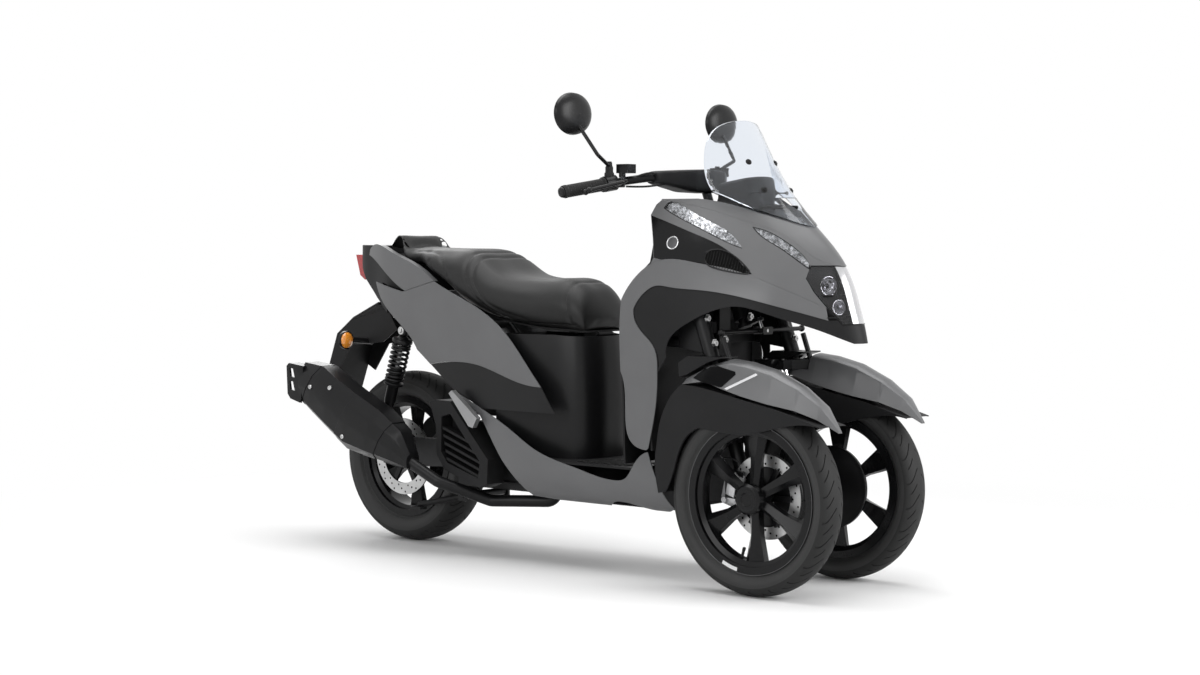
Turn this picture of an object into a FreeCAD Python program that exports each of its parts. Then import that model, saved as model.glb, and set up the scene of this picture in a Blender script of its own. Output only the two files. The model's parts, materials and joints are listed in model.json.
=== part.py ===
"""A leaning reverse trike: two narrow-set front wheels on a tilting linkage, one driven rear wheel.

Millimetres. +X is forward, +Y is the rider's left, +Z is up, and z = 0 is the ground.
The origin is the middle of the overall length, on the ground, on the centre plane.
Front stations are measured from the front axle, rear stations from the rear axle, both forward.
"""
import FreeCAD
import Part
import math
import os

V = FreeCAD.Vector
Y_AXIS = V(0, 1, 0)
X_AXIS = V(1, 0, 0)
Z_AXIS = V(0, 0, 1)

# Overall lengths
WHEELBASE = 1410
FRONT_OVERHANG = 255
REAR_OVERHANG = 330
TRACK = 385

# Steering and tilting
CASTER = 20
TRAIL = 68
KINGPIN_Y = 180
ARM_LOW_Z = 640
ARM_SPREAD = 64
ARM_FRONT = -262
ARM_DEPTH = 38
STEER_ARM = 50
TIE_FOOT_Z = 651
STEM_R = 12.5
KINGPIN_R = 12
KINGPIN_TOP_Z = 722
PIN_R = 8
CENTRE_PIN_R = 10
TIE_PIN_R = 5
TIE_ROD_R = 6
LEAN_MAX = 38
STEER_MAX = 35
LEAN_ROOM = 6

# Front wheels
FRONT_R = 250
FRONT_TYRE_W = 90
FRONT_RIM_R = 193
FRONT_BEAD_R = 178
FRONT_RIM_W = 55
FRONT_DISC_R = 110

# Rear wheel
REAR_R = 256
REAR_TYRE_W = 130
REAR_RIM_R = 182
REAR_BEAD_R = 167
REAR_RIM_W = 89
REAR_DISC_R = 115

AXLE_R = 7.5
DISC_T = 4
RIM_T = 5
RIM_WELL = 12
SPOKES = 6

# Fork legs
LEG_Y = 115
LEG_FRONT = -2
LEG_REAR = -58
SLIDER_R = 19
STANCHION_R = 15
SLIDER_LOW_Z = 208
SLIDER_TOP_Z = 430
KNUCKLE_LOW_Z = 560
KNUCKLE_TOP_Z = 585

# Frame
HEAD_PIPE_R = 24
HEAD_PIPE_LOW_Z = 694
HEAD_PIPE_TOP_Z = 872
SPINE_R = 26
RAIL_R = 16
RAIL_Y = 95
RAIL_Z = 225
SEAT_RAIL_Y = 135
SHOCK_Y = 134
SHOCK_PIN_R = 6

# Body
PANEL_T = 3
TRIM_INSET = 2
BAR_WIDTH = 750
BAR_Z = 1052
BAR_R = 11
GRIP_R = 16
FLOOR_Z = 300
BELLY_Z = 187
SCREEN_T = 4
DECK_T = 8
FENDER_T = 3
FENDER_Y = 192
FENDER_HALF = 54
FENDER_CREASE = 6
WALL_REAR = -330
WALL_T = 6
SHIELD_REAR = -420
SILENCER_Y = 236
TAIL_PLATE_T = 4
SEAT_HINGE_X = 742
SEAT_HINGE_Z = 644
HINGE_EAR_R = 5

# Stands
STAND_X = 280
STAND_Z = 160
STAND_PIN_R = 6
SIDE_STAND_X = 560
SIDE_STAND_Y = 135
SIDE_STAND_Z = 190
SIDE_STAND_AXIS = V(0, 0.89, 0.456)

# Gaps
RUN = 0.05
SEAT_GAP = 0.3
OPEN_PIN = 0.3
SLIVER = 2000

FRONT_X = (WHEELBASE + REAR_OVERHANG - FRONT_OVERHANG) / 2
REAR_X = FRONT_X - WHEELBASE
AXIS = V(-math.sin(math.radians(CASTER)), 0, math.cos(math.radians(CASTER)))
AHEAD = V(math.cos(math.radians(CASTER)), 0, math.sin(math.radians(CASTER)))
SIDES = (("right", -1), ("left", 1))


def F(station):
    """Row x of a station ahead of the front axle."""
    return FRONT_X + station


def R(station):
    """Row x of a station ahead of the rear axle."""
    return REAR_X + station


def axis_x(z):
    """Row x of the steering axis at height z."""
    return F(TRAIL) - z * math.tan(math.radians(CASTER))


def on_axis(z, y=0.0, ahead=0.0):
    """Point at height z on the steering axis moved to y and ahead along x."""
    return V(axis_x(z) + ahead, y, z)


def side(x, z):
    return V(x, 0, z)


def front(y, z):
    return V(0, y, z)


def plan(x, y):
    return V(x, y, 0)


def edge_through(points):
    """A line through two points, an arc through three, a smooth curve through more."""
    if len(points) == 2:
        return Part.LineSegment(*points).toShape()
    if len(points) == 3:
        return Part.Arc(*points).toShape()
    curve = Part.BSplineCurve()
    curve.interpolate(points)
    return curve.toShape()


def outline(lift, start, *runs):
    """Flat face. Each run lists the points that follow the last one, and the last run closes."""
    edges = []
    last = start
    for run in runs:
        edges.append(edge_through([lift(*point) for point in [last] + run]))
        last = run[-1]
    if last != start:
        edges.append(edge_through([lift(*last), lift(*start)]))
    return Part.Face(Part.Wire(edges))


def straight(lift, points):
    """Flat face with straight edges."""
    return outline(lift, points[0], *[[point] for point in points[1:]])


def between(face, direction, low, high):
    """Prism of a face from low to high along a direction."""
    moved = face.translated(direction * low)
    return moved.extrude(direction * (high - low))


def across(face, low, high):
    return between(face, Y_AXIS, low, high)


def rod(start, finish, radius, bore=0.0):
    """Round bar, or tube with a bore, between two points."""
    length = (finish - start).Length
    solid = Part.makeCylinder(radius, length, start, finish - start)
    if bore:
        solid = solid.cut(Part.makeCylinder(bore, length, start, finish - start))
    return solid


def bent_rod(points, radius, bend):
    """Round bar along straight runs joined by arcs of one radius."""
    edges = []
    here = points[0]
    for before, corner, after in zip(points, points[1:], points[2:]):
        back = (before - corner).normalize()
        onward = (after - corner).normalize()
        half = back.getAngle(onward) / 2
        reach = bend / math.tan(half)
        middle = corner + (back + onward).normalize() * (bend / math.sin(half) - bend)
        edges.append(edge_through([here, corner + back * reach]))
        edges.append(edge_through([corner + back * reach, middle, corner + onward * reach]))
        here = corner + onward * reach
    edges.append(edge_through([here, points[-1]]))
    path = Part.Wire(edges)
    ring = Part.Wire(Part.makeCircle(radius, points[0], points[1] - points[0]))
    return path.makePipeShell([ring], True, True)


def box(x0, x1, y0, y1, z0, z1):
    low = V(min(x0, x1), min(y0, y1), min(z0, z1))
    return Part.makeBox(abs(x1 - x0), abs(y1 - y0), abs(z1 - z0), low)


def joined(*shapes):
    return shapes[0].fuse(list(shapes[1:])).removeSplitter()


def mirrored(shape):
    """The left piece made from the right one, or the other way round."""
    return shape.mirror(V(0, 0, 0), Y_AXIS)


def pair(shape):
    return Part.makeCompound([shape, mirrored(shape)])


def group(*shapes):
    return Part.makeCompound(list(shapes))


def skin_solid(rows, inset=0.0):
    """Smooth hull through flat level outlines, each listed from the nose or tail back as (x, half width)."""
    wires = []
    for z in sorted(rows):
        half = [V(x - inset * (y == 0), -max(y - inset, 0) if y else 0.0, z) for x, y in rows[z]]
        other = [V(p.x, -p.y, p.z) for p in reversed(half[1:])]
        curve = Part.BSplineCurve()
        curve.interpolate(other + half)
        wires.append(Part.Wire([curve.toShape(), edge_through([half[-1], other[0]])]))
    return Part.makeLoft(wires, True, False)


def level(z, stations, place):
    return {z: [(place(s), w) for s, w in stations]}


def turned(centre, out, points):
    """Ring or disc turned about the axle line through centre; points are (outward, radius)."""
    face = straight(lambda a, r: centre + V(0, out * a, r), points)
    return face.revolve(centre, Y_AXIS, 360)


def tyre(centre, radius, width, rim_r, bead_r, rim_w):
    half = width / 2
    bead = rim_w / 2 - SEAT_GAP
    inner = bead_r + SEAT_GAP
    wall_r = rim_r + 0.38 * (radius - rim_r)
    edge_r = rim_r + 0.5 * (radius - rim_r)
    face = outline(lambda a, r: centre + V(0, a, r), (bead, inner), [(bead, rim_r + 4)],
                   [(half, wall_r), (half - 3, edge_r)], [(0, radius), (3 - half, edge_r)],
                   [(-half, wall_r), (-bead, rim_r + 4)], [(-bead, inner)])
    return face.revolve(centre, Y_AXIS, 360)


def rim(centre, rim_r, bead_r, rim_w):
    half = rim_w / 2
    lip = half + 4
    well = bead_r - RIM_WELL
    right = [(lip, rim_r), (half, rim_r), (half, bead_r), (half - 10, bead_r), (half - 16, well)]
    inside = [(half - 13, well - RIM_T), (half - 7, bead_r - RIM_T), (lip, bead_r - RIM_T)]
    points = right + [(-a, r) for a, r in reversed(right)]
    points += [(-a, r) for a, r in reversed(inside)] + inside
    return turned(centre, 1, points)


def spokes(centre, out, hub_r, rim_r):
    """Six twisted spokes, narrow at the hub and wide at the rim, with a crease down each face."""
    middle = (hub_r + rim_r) / 2
    stations = {
        hub_r: [(-13, -14), (13, -14), (13, 9), (1, 17), (-13, 9)],
        middle: [(-17, -14), (14, -13), (17, 0), (6, 13), (-15, 4)],
        rim_r: [(-31, -15), (27, -12), (33, -2), (14, 13), (-27, 1)],
    }
    wires = []
    for r, points in stations.items():
        ring = [centre + V(t, out * a, r) for t, a in points]
        wires.append(Part.makePolygon(ring + ring[:1]))
    one = Part.makeLoft(wires, True, True)
    return [one.rotated(centre, Y_AXIS, k * 360 / SPOKES) for k in range(SPOKES)]


def disc_ring(centre, out, face_at, radius):
    """Brake disc with its inboard face at face_at, and the arms that carry it from the hub."""
    ring = turned(centre, out, [(face_at, radius), (face_at, radius * 0.7),
                                (face_at + DISC_T, radius * 0.7), (face_at + DISC_T, radius)])
    return ring


def disc_arms(centre, out, face_at, radius):
    arms = []
    for k in range(SPOKES):
        arm = box(centre.x - 8, centre.x + 8, centre.y + out * face_at, centre.y + out * (face_at + 8),
                  centre.z + 26, centre.z + radius * 0.76)
        arms.append(arm.rotated(centre, Y_AXIS, (k + 0.5) * 360 / SPOKES))
    return arms


def front_wheel_right():
    centre = V(F(0), -TRACK / 2, FRONT_R)
    out = -1
    bore = AXLE_R + RUN
    hub = turned(centre, out, [(-44, bore), (-44, 27), (-34, 30), (-20, 34), (18, 34), (22, 39), (38, 39),
                               (44, 33), (44, 18), (41, 16), (41, 0), (30, 0), (30, bore)])
    parts = [hub, rim(centre, FRONT_RIM_R, FRONT_BEAD_R, FRONT_RIM_W)]
    parts += spokes(centre, out, 28, FRONT_BEAD_R - RIM_WELL - 2)
    parts += disc_arms(centre, out, -40, FRONT_DISC_R)
    parts.append(disc_ring(centre, out, -44, FRONT_DISC_R))
    return joined(*parts)


def rear_wheel():
    centre = V(R(0), 0, REAR_R)
    out = -1
    bore = AXLE_R + RUN
    hub = turned(centre, out, [(-50, bore), (-50, 34), (-30, 40), (30, 40), (58, 34), (58, bore)])
    parts = [hub, rim(centre, REAR_RIM_R, REAR_BEAD_R, REAR_RIM_W)]
    parts += spokes(centre, out, 34, REAR_BEAD_R - RIM_WELL - 2)
    parts += disc_arms(centre, out, 46, REAR_DISC_R)
    parts.append(disc_ring(centre, out, 54, REAR_DISC_R))
    return joined(*parts)


def leg(low_z, top_z, ahead, radius):
    return rod(on_axis(low_z, -LEG_Y, ahead), on_axis(top_z, -LEG_Y, ahead), radius)


def fork_right():
    """Two tandem sliders with the axle boss ahead of them, the stub axle and the brake caliper."""
    axle = V(F(0), 0, FRONT_R)
    inner = LEG_Y - SLIDER_R
    outer = LEG_Y + SLIDER_R
    hub_face = TRACK / 2 - 44
    parts = [leg(SLIDER_LOW_Z, SLIDER_TOP_Z, LEG_FRONT, SLIDER_R),
             leg(SLIDER_LOW_Z, SLIDER_TOP_Z, LEG_REAR, SLIDER_R)]
    for z in (FRONT_R, SLIDER_TOP_Z - 28):
        parts.append(box(axis_x(z) + LEG_REAR, axis_x(z) + LEG_FRONT, -LEG_Y - 9, -LEG_Y + 9, z - 22,
                         z + 22))
    boss = rod(axle + V(0, -inner, 0), axle + V(0, -outer, 0), 24)
    parts.append(boss)
    parts.append(box(axle.x - 30, axle.x, -LEG_Y - 16, -LEG_Y + 16, FRONT_R - 20, FRONT_R + 20))
    parts.append(rod(axle + V(0, -outer + 2, 0), axle + V(0, -hub_face + SEAT_GAP, 0), 15))
    parts.append(rod(axle + V(0, -inner, 0), axle + V(0, -TRACK / 2 - 28, 0), AXLE_R))
    disc_y = -TRACK / 2 + 44 - DISC_T / 2
    caliper = outline(side, (F(-118), FRONT_R - 8), [(F(-118), FRONT_R + 40)], [(F(-96), FRONT_R + 66)],
                      [(F(-62), FRONT_R + 60)], [(F(-66), FRONT_R + 20)], [(F(-76), FRONT_R - 12)])
    block = across(caliper, disc_y - 17, disc_y + 15)
    slot = turned(axle + V(0, disc_y, 0), 1, [(-4, 0), (4, 0), (4, FRONT_DISC_R + 4),
                                              (-4, FRONT_DISC_R + 4)])
    arm_room = turned(axle + V(0, disc_y, 0), 1, [(-13, 0), (4, 0), (4, 90), (-13, 90)])
    parts.append(block.cut([slot, arm_room]))
    parts.append(box(F(-106), F(-70), disc_y + 13, -LEG_Y - 8, FRONT_R + 4, FRONT_R + 30))
    return joined(*parts)


def tie_point(y=0.0):
    """Centre of a rod end: the steering arm's length ahead of the axis."""
    return on_axis(TIE_FOOT_Z, y) + AHEAD * STEER_ARM


def knuckle_right():
    """Top bracket of the leg pair, with the chrome stanchions, the kingpin and the steering arm."""
    z0, z1 = KNUCKLE_LOW_Z, KNUCKLE_TOP_Z
    parts = [leg(SLIDER_TOP_Z + SEAT_GAP, z1 - 2, LEG_FRONT, STANCHION_R)]
    parts.append(leg(SLIDER_TOP_Z + SEAT_GAP, z1 - 2, LEG_REAR, STANCHION_R))
    mid = axis_x((z0 + z1) / 2)
    bracket = outline(plan, (mid - 76, -LEG_Y + 20), [(mid + 20, -LEG_Y + 20)], [(mid + 20, -LEG_Y - 20)],
                      [(mid + 62, -KINGPIN_Y + 11)], [(mid + 62, -KINGPIN_Y - 11)],
                      [(mid + 14, -KINGPIN_Y - 24)],
                      [(mid - 24, -KINGPIN_Y - 24)], [(mid - 76, -LEG_Y - 22)])
    parts.append(between(bracket, Z_AXIS, z0, z1))
    parts.append(rod(on_axis(z0 + 4, -KINGPIN_Y), on_axis(KINGPIN_TOP_Z, -KINGPIN_Y), KINGPIN_R))
    top = tie_point(-KINGPIN_Y)
    foot = top - AXIS * ((top.z - z0 - 8) / AXIS.z)
    parts.append(rod(foot, top - AXIS * 14, 7))
    parts.append(box(F(-206), F(-186), -166, -150, z1 - 2, 600))
    return joined(knuckle_cap(), *parts).cut(lean_relief())


def lean_relief():
    """Space that the tie rod takes beside the right knuckle at full lean, over the whole lock."""
    centre = tie_point()
    inner = [rod(centre, centre - Y_AXIS * 100, TIE_ROD_R + LEAN_ROOM),
             Part.makeSphere(36 + LEAN_ROOM, centre)]
    arm = V(0, -KINGPIN_Y, 0)
    raised = turned_about(arm, V(0, 0, 0), X_AXIS, -LEAN_MAX) - arm
    pieces = []
    for lock in (-STEER_MAX, -STEER_MAX / 2, 0, STEER_MAX / 2, STEER_MAX):
        for shape in inner:
            piece = shape.copy()
            piece.rotate(centre, X_AXIS, -LEAN_MAX)
            piece.translate(turned_about(centre, on_axis(TIE_FOOT_Z), AXIS, lock) - centre - raised)
            piece.rotate(on_axis(TIE_FOOT_Z, -KINGPIN_Y), AXIS, -lock)
            pieces.append(piece)
    return pieces


def turned_about(point, centre, axis, angle):
    """A point turned about an axis by an angle in degrees."""
    return centre + FreeCAD.Rotation(axis, angle).multVec(point - centre)


def knuckle_cap():
    """Cover over the knuckle, above the fender, open round the kingpin."""
    cap = straight(side, fs((-222, 552), (-226, 588), (-196, 607), (-92, 607), (-92, 604), (-130, 593),
                            (-200, 558)))
    return across(cap, -228, -148).cut(rod(on_axis(500, -KINGPIN_Y), on_axis(700, -KINGPIN_Y), 27))


def fender_rows():
    """Sections across the fender at stations from its tip to its rear top: x, crown z, side z, half width."""
    return [(FRONT_OVERHANG, 436, 430, 8), (209, 497, 462, 34), (146, 542, 483, 46), (65, 579, 496, 52),
            (-11, 597, 512, 54), (-67, 603, 527, 55), (-130, 588, 545, 54), (-200, 552, 535, 52)]


def fender_arch(x, crown, low, half, thin):
    """Section at station x: flat flanks up to a crest each side, and a crowned top."""
    x = F(x)
    y = -FENDER_Y
    foot = low - 8 * (thin > 0)
    reach = half - thin
    crest_y = 0.6 * reach
    crest_z = crown - thin - 0.16 * (crown - low)
    points = [(y - reach, foot), (y - crest_y, crest_z), (y, crown - thin), (y + crest_y, crest_z),
              (y + reach, foot)]
    points = [V(x, *point) for point in points]
    edges = [edge_through(points[:2]), edge_through(points[1:4]), edge_through(points[3:]),
             edge_through([points[4], points[0]])]
    return Part.Wire(edges)


def fender_hull():
    return Part.makeLoft([fender_arch(*row, 0.0) for row in fender_rows()], True, True)


def fender_right():
    """Painted top shell of the front fender."""
    rows = fender_rows()
    outer = fender_hull()
    inner = Part.makeLoft([fender_arch(*row, FENDER_T) for row in rows[1:]], True, True)
    mid = axis_x((KNUCKLE_LOW_Z + KNUCKLE_TOP_Z) / 2)
    room = box(mid - 77, mid + 62 + SEAT_GAP, -KINGPIN_Y - 24 - SEAT_GAP, -90, KNUCKLE_LOW_Z - SEAT_GAP,
               640)
    return outer.cut(inner).cut(room)


def fender_side_right():
    """Black lower shell: the creased skirts beside the tyre, and the tail behind it."""
    t = FENDER_T
    outer_y = -FENDER_Y - FENDER_HALF
    inner_y = -FENDER_Y + FENDER_HALF - 2
    outer = outline(side, (F(236), 446), [(F(183), 461), (F(98), 483), (F(6), 501), (F(-90), 521),
                                          (F(-200), 534)],
                    [(F(-242), 490), (F(-268), 430), (F(-281), 350), (F(-283), 285)], [(F(-276), 248)],
                    [(F(-254), 252)], [(F(-224), 310), (F(-202), 370), (F(-142), 425)],
                    [(F(-47), 416), (F(8), 417), (F(73), 430), (F(153), 447), (F(236), 444)])
    wires = []
    for x, crease in ((-320, 400), (-238, 449), (-34, 489), (212, 471), (260, 462)):
        ring = [(outer_y, crease + 120), (outer_y - FENDER_CREASE, crease), (outer_y, crease - 220),
                (inner_y, crease - 220), (inner_y, crease + 120), (outer_y, crease + 120)]
        wires.append(Part.makePolygon([V(F(x), *point) for point in ring]))
    block = across(outer, outer_y - 20, inner_y).common(Part.makeLoft(wires, True, True))
    hollow = across(outer.translated(V(8, 0, -t)), outer_y + t, inner_y - t)
    wheel_room = rod(V(F(0), outer_y + t, FRONT_R), V(F(0), inner_y - t, FRONT_R), FRONT_R + 12)
    leg_room = box(F(-235), F(60), -LEG_Y - 26, -LEG_Y + 60, SLIDER_LOW_Z, 620)
    painted = fender_hull()
    rooms = [wheel_room, fender_under(), leg_room, painted, painted.translated(V(0, 0, -SEAT_GAP))]
    return block.cut(hollow).cut(rooms)


def fender_under():
    """Everything above the lower edge of the painted shell."""
    edge = [(F(x), low - SEAT_GAP) for x, crown, low, half in fender_rows()]
    face = outline(side, (F(330), 700), [(F(330), 440)], [edge[0]], edge[1:], [(F(-200) - 2, 700)])
    return across(face, -400, 0)


def holder_right():
    """Carrier of one kingpin: its tube, and the plate back to the two arm pins."""
    y = -KINGPIN_Y
    low = on_axis(KNUCKLE_TOP_Z + 12, y)
    high = on_axis(KINGPIN_TOP_Z - 6, y)
    tube = rod(low, high, 20)
    back = F(ARM_FRONT) + 7
    upper = ARM_LOW_Z + ARM_SPREAD
    plate = straight(side, [(axis_x(ARM_LOW_Z), ARM_LOW_Z - 26), (back, ARM_LOW_Z - 14), (back, upper + 14),
                            (axis_x(upper), upper + 8)])
    parts = [tube, across(plate, y - 9, y + 9)]
    for z in (ARM_LOW_Z, upper):
        parts.append(rod(V(back + 6, y, z), V(F(ARM_FRONT) + SEAT_GAP, y, z), 15))
        parts.append(rod(V(back, y, z), V(F(ARM_FRONT) - ARM_DEPTH - 4, y, z), PIN_R))
    return joined(*parts).cut(rod(low - AXIS * 20, high + AXIS * 20, KINGPIN_R + RUN))


def arm(z, end_clearance):
    """Cross arm with a pivot at the middle and at each end, all along x."""
    x1 = F(ARM_FRONT)
    x0 = x1 - ARM_DEPTH
    bar = outline(front, (-KINGPIN_Y, z + 11), [(KINGPIN_Y, z + 11)], [(KINGPIN_Y, z - 11)],
                  [(-KINGPIN_Y, z - 11)])
    parts = [between(bar, X_AXIS, x0 + 6, x1 - 6), rod(V(x0, 0, z), V(x1, 0, z), 17)]
    for name, s in SIDES:
        parts.append(rod(V(x0, s * KINGPIN_Y, z), V(x1, s * KINGPIN_Y, z), 14))
    solid = joined(*parts)
    solid = solid.cut(rod(V(x0, 0, z), V(x1, 0, z), CENTRE_PIN_R + RUN))
    for name, s in SIDES:
        solid = solid.cut(rod(V(x0, s * KINGPIN_Y, z), V(x1, s * KINGPIN_Y, z), PIN_R + end_clearance))
    return solid


def tie_rod():
    centre = tie_point()
    parts = []
    for name, s in SIDES:
        end = tie_point(s * KINGPIN_Y)
        parts.append(rod(centre + V(0, s * 18, 0), end, TIE_ROD_R))
        parts.append(Part.makeSphere(9, end))
        parts.append(box(centre.x - 19, centre.x + 19, s * 16, s * 22, centre.z - 6, centre.z + 6))
    for s in (-1, 1):
        parts.append(box(centre.x + s * 14, centre.x + s * 19, -20, 20, centre.z - 10, centre.z + 10))
    pin = rod(centre - X_AXIS * 20, centre + X_AXIS * 20, TIE_PIN_R + RUN)
    return joined(*parts).cut(pin)


def tie_swivel():
    centre = tie_point()
    return joined(Part.makeSphere(8, centre), rod(centre - X_AXIS * 18, centre + X_AXIS * 18, TIE_PIN_R),
                  rod(centre, centre + AXIS * 36, TIE_PIN_R))


def steering_stem():
    """Steering shaft through the head pipe, with the arm that moves the tie rod."""
    arm_foot = on_axis(TIE_FOOT_Z) + AXIS * 30
    shaft = rod(arm_foot - AXIS * 5, on_axis(BAR_Z - 6), STEM_R)
    eye = tie_point() + AXIS * 30
    plate = rod(eye - AXIS * 4, eye + AXIS * 4, 12)
    root = rod(arm_foot - AXIS * 5, arm_foot + AXIS * 5, 19)
    half = V(0, 10, 0)
    bar = Part.Face(Part.makePolygon([arm_foot - half, eye - half, eye + half, arm_foot + half,
                                      arm_foot - half]))
    bar = between(bar, AXIS, -4, 4)
    stem = joined(shaft, root, bar, plate)
    return stem.cut(rod(eye - AXIS * 5, eye + AXIS * 5, TIE_PIN_R + RUN))


def bar_points(s):
    clamp = axis_x(BAR_Z)
    end = BAR_WIDTH / 2
    return [V(clamp, 0, BAR_Z), V(clamp - 4, s * 45, BAR_Z + 2), V(clamp - 70, s * 150, BAR_Z + 20),
            V(clamp - 128, s * 215, BAR_Z + 8), V(clamp - 176, s * (end - 12), BAR_Z - 18)]


def bar_bend(s):
    """Room round the bar inboard of the switches."""
    middle, inner = bar_points(s)[2:4]
    return rod(middle, inner, BAR_R + SEAT_GAP)


def handlebar():
    """Steering shaft with the arm for the tie rod, its clamp under a cover, and both bar halves."""
    parts = [steering_stem(), rod(V(axis_x(BAR_Z), -46, BAR_Z + 2), V(axis_x(BAR_Z), 46, BAR_Z + 2), 19)]
    for name, s in SIDES:
        parts.append(bent_rod(bar_points(s), BAR_R, 30))
    return joined(*parts)


def bar_cover():
    """Plastic cover over the clamp and the middle of both bar halves."""
    clamp = axis_x(BAR_Z)
    half = [(clamp + 30, 0), (clamp + 24, 62), (clamp - 36, 150), (clamp - 88, 146), (clamp - 58, 64),
            (clamp - 44, 0)]
    around = straight(plan, half + [(x, -y) for x, y in reversed(half[1:-1])])
    arch = [(0, BAR_Z + 44), (66, BAR_Z + 42), (140, BAR_Z + 38), (151, BAR_Z + 30), (151, BAR_Z + 6),
            (64, BAR_Z - 18),
            (0, BAR_Z - 20)]
    arch = straight(front, arch + [(-y, z) for y, z in reversed(arch[1:-1])])
    cover = between(around, Z_AXIS, BAR_Z - 60, BAR_Z + 80).common(between(arch, X_AXIS, clamp - 200,
                                                                           clamp + 200))
    cover = cover.cut(rod(V(clamp, -47, BAR_Z + 2), V(clamp, 47, BAR_Z + 2), 19 + SEAT_GAP))
    cover = cover.cut(rod(on_axis(BAR_Z - 60), on_axis(BAR_Z), STEM_R + SEAT_GAP))
    return cover.cut([bent_rod(bar_points(s), BAR_R + SEAT_GAP, 30) for name, s in SIDES])


def grips():
    solids = []
    for name, s in SIDES:
        inner, outer = bar_points(s)[3:]
        along = (outer - inner).normalize()
        start = inner + along * 40
        grip = rod(start, outer + along * 12, GRIP_R, BAR_R + SEAT_GAP)
        solids.append(grip)
    return group(*solids)


def controls():
    """Switch housings with the brake levers and the reservoirs."""
    solids = []
    for name, s in SIDES:
        inner, outer = bar_points(s)[3:]
        along = (outer - inner).normalize()
        at = inner + along * 6
        housing = rod(at, inner + along * 39, 21)
        lever_root = inner + along * 10 + V(24, 0, 4)
        clamp = rod(inner + along * 8 + V(14, 0, 2), lever_root + V(8, 0, 2), 10)
        lever = bent_rod([lever_root + V(6, 0, 0), lever_root + V(40, s * 20, 0),
                          outer + V(62, s * -20, 2)], 5, 18)
        knob = Part.makeSphere(8, outer + V(62, s * -20, 2))
        tank = box(at.x + 6, at.x + 44, at.y - s * 34, at.y + s * 2, at.z + 24, at.z + 48)
        neck = rod(V(at.x + 20, at.y - s * 6, at.z), V(at.x + 20, at.y - s * 6, at.z + 26), 9)
        unit = joined(housing, clamp, lever, knob, tank, neck)
        solids.append(unit.cut(rod(at - along * 1, outer + along * 60, BAR_R + SEAT_GAP)).cut(bar_bend(s)))
    return group(*solids)


def mirrors():
    """Mirrors on bent stems that stand on the switch housings."""
    solids = []
    for name, s in SIDES:
        inner, outer = bar_points(s)[3:]
        along = (outer - inner).normalize()
        base = inner + along * 24 + V(0, 0, 21)
        elbow = V(base.x + 12, s * 300, BAR_Z + 78)
        head = V(base.x - 50, s * 318, BAR_Z + 170)
        stem = bent_rod([base, base + V(2, s * 2, 24), elbow, head], 5, 10)
        stem = joined(stem, rod(base - Z_AXIS * 2, base + Z_AXIS * 8, 9)).cut(rod(inner, outer,
                                                                                  21 + SEAT_GAP))
        bowl = outline(lambda x, r: V(x, r, 0), (-6, 0), [(-6, 62)], [(3, 60)],
                       [(11, 48), (17, 26), (19, 0)])
        bowl = bowl.revolve(V(0, 0, 0), X_AXIS, 360)
        matrix = FreeCAD.Matrix()
        matrix.scale(1, 1.16, 0.9)
        shell = bowl.transformGeometry(matrix).translated(head + V(0, s * 6, 16))
        solids.append(joined(stem, shell))
    return group(*solids)


COWL = {}
COWL.update(level(190, [(190, 0), (150, 50), (90, 90), (0, 120), (-100, 140), (-200, 155), (-300, 178),
                        (-420, 192)], F))
COWL.update(level(450, [(200, 0), (182, 40), (110, 92), (0, 158), (-100, 202), (-200, 222), (-300, 225),
                        (-420, 222)], F))
COWL.update(level(650, [(200, 0), (182, 40), (110, 92), (0, 158), (-100, 202), (-200, 227), (-300, 236),
                        (-420, 232)], F))
COWL.update(level(750, [(172, 0), (158, 36), (104, 80), (0, 150), (-100, 190), (-200, 213), (-300, 224),
                        (-420, 224)], F))
COWL.update(level(850, [(128, 0), (112, 34), (58, 78), (0, 115), (-100, 154), (-200, 177), (-300, 190),
                        (-420, 193)], F))
COWL.update(level(950, [(31, 0), (18, 34), (-6, 63), (-50, 95), (-120, 124), (-200, 146), (-300, 164),
                        (-420, 170)], F))
COWL.update(level(1015, [(-20, 0), (-36, 30), (-60, 55), (-100, 85), (-160, 114), (-220, 134), (-300, 149),
                         (-420, 155)], F))


def cowl_shell(inset, thick):
    return skin_solid(COWL, inset).cut(skin_solid(COWL, inset + thick))


def fs(*points):
    return [(F(s), z) for s, z in points]


def rs(*points):
    return [(R(s), z) for s, z in points]


def side_region(start, *runs):
    return across(outline(side, start, *runs), -300, 300)


def nose_line():
    """Lower edge of the nose panel, from its tip back."""
    return fs((140, 838), (98, 852), (60, 877), (15, 912), (-50, 942), (-102, 958), (-185, 984),
              (-253, 999), (-340, 1012))


def flange_top():
    """Top edge of the painted band round the wheel arch, from the nose back and down."""
    return fs((126, 734), (30, 782), (-56, 817), (-130, 836), (-191, 845), (-318, 853), (-345, 843),
              (-396, 796), (-421, 747))


def flange_low():
    """Lower edge of that band, from the nose back and down to the leg shield."""
    return fs((134, 702), (36, 733), (-67, 761), (-177, 777), (-270, 784), (-316, 786), (-356, 757),
              (-374, 725))


def shield_front():
    return fs((-374, 725), (-348, 671), (-300, 625), (-291, 560), (-298, 489), (-334, 359))


def vent_region():
    top = fs((-366, 972), (-300, 950), (-240, 928), (-148, 892), (-58, 820))
    low = fs((-58, 820), (-110, 828), (-193, 847), (-320, 856), (-338, 860))
    return side_region(top[0], top[1:], low[1:], fs((-366, 972)))


def lamp_region():
    upper = fs((-329, 990), (-318, 1004), (-251, 986), (-184, 954), (-129, 925), (-88, 884))
    lower = fs((-88, 884), (-136, 901), (-212, 935), (-291, 970), (-329, 990))
    return side_region(upper[0], upper[1:], lower[1:])


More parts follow.
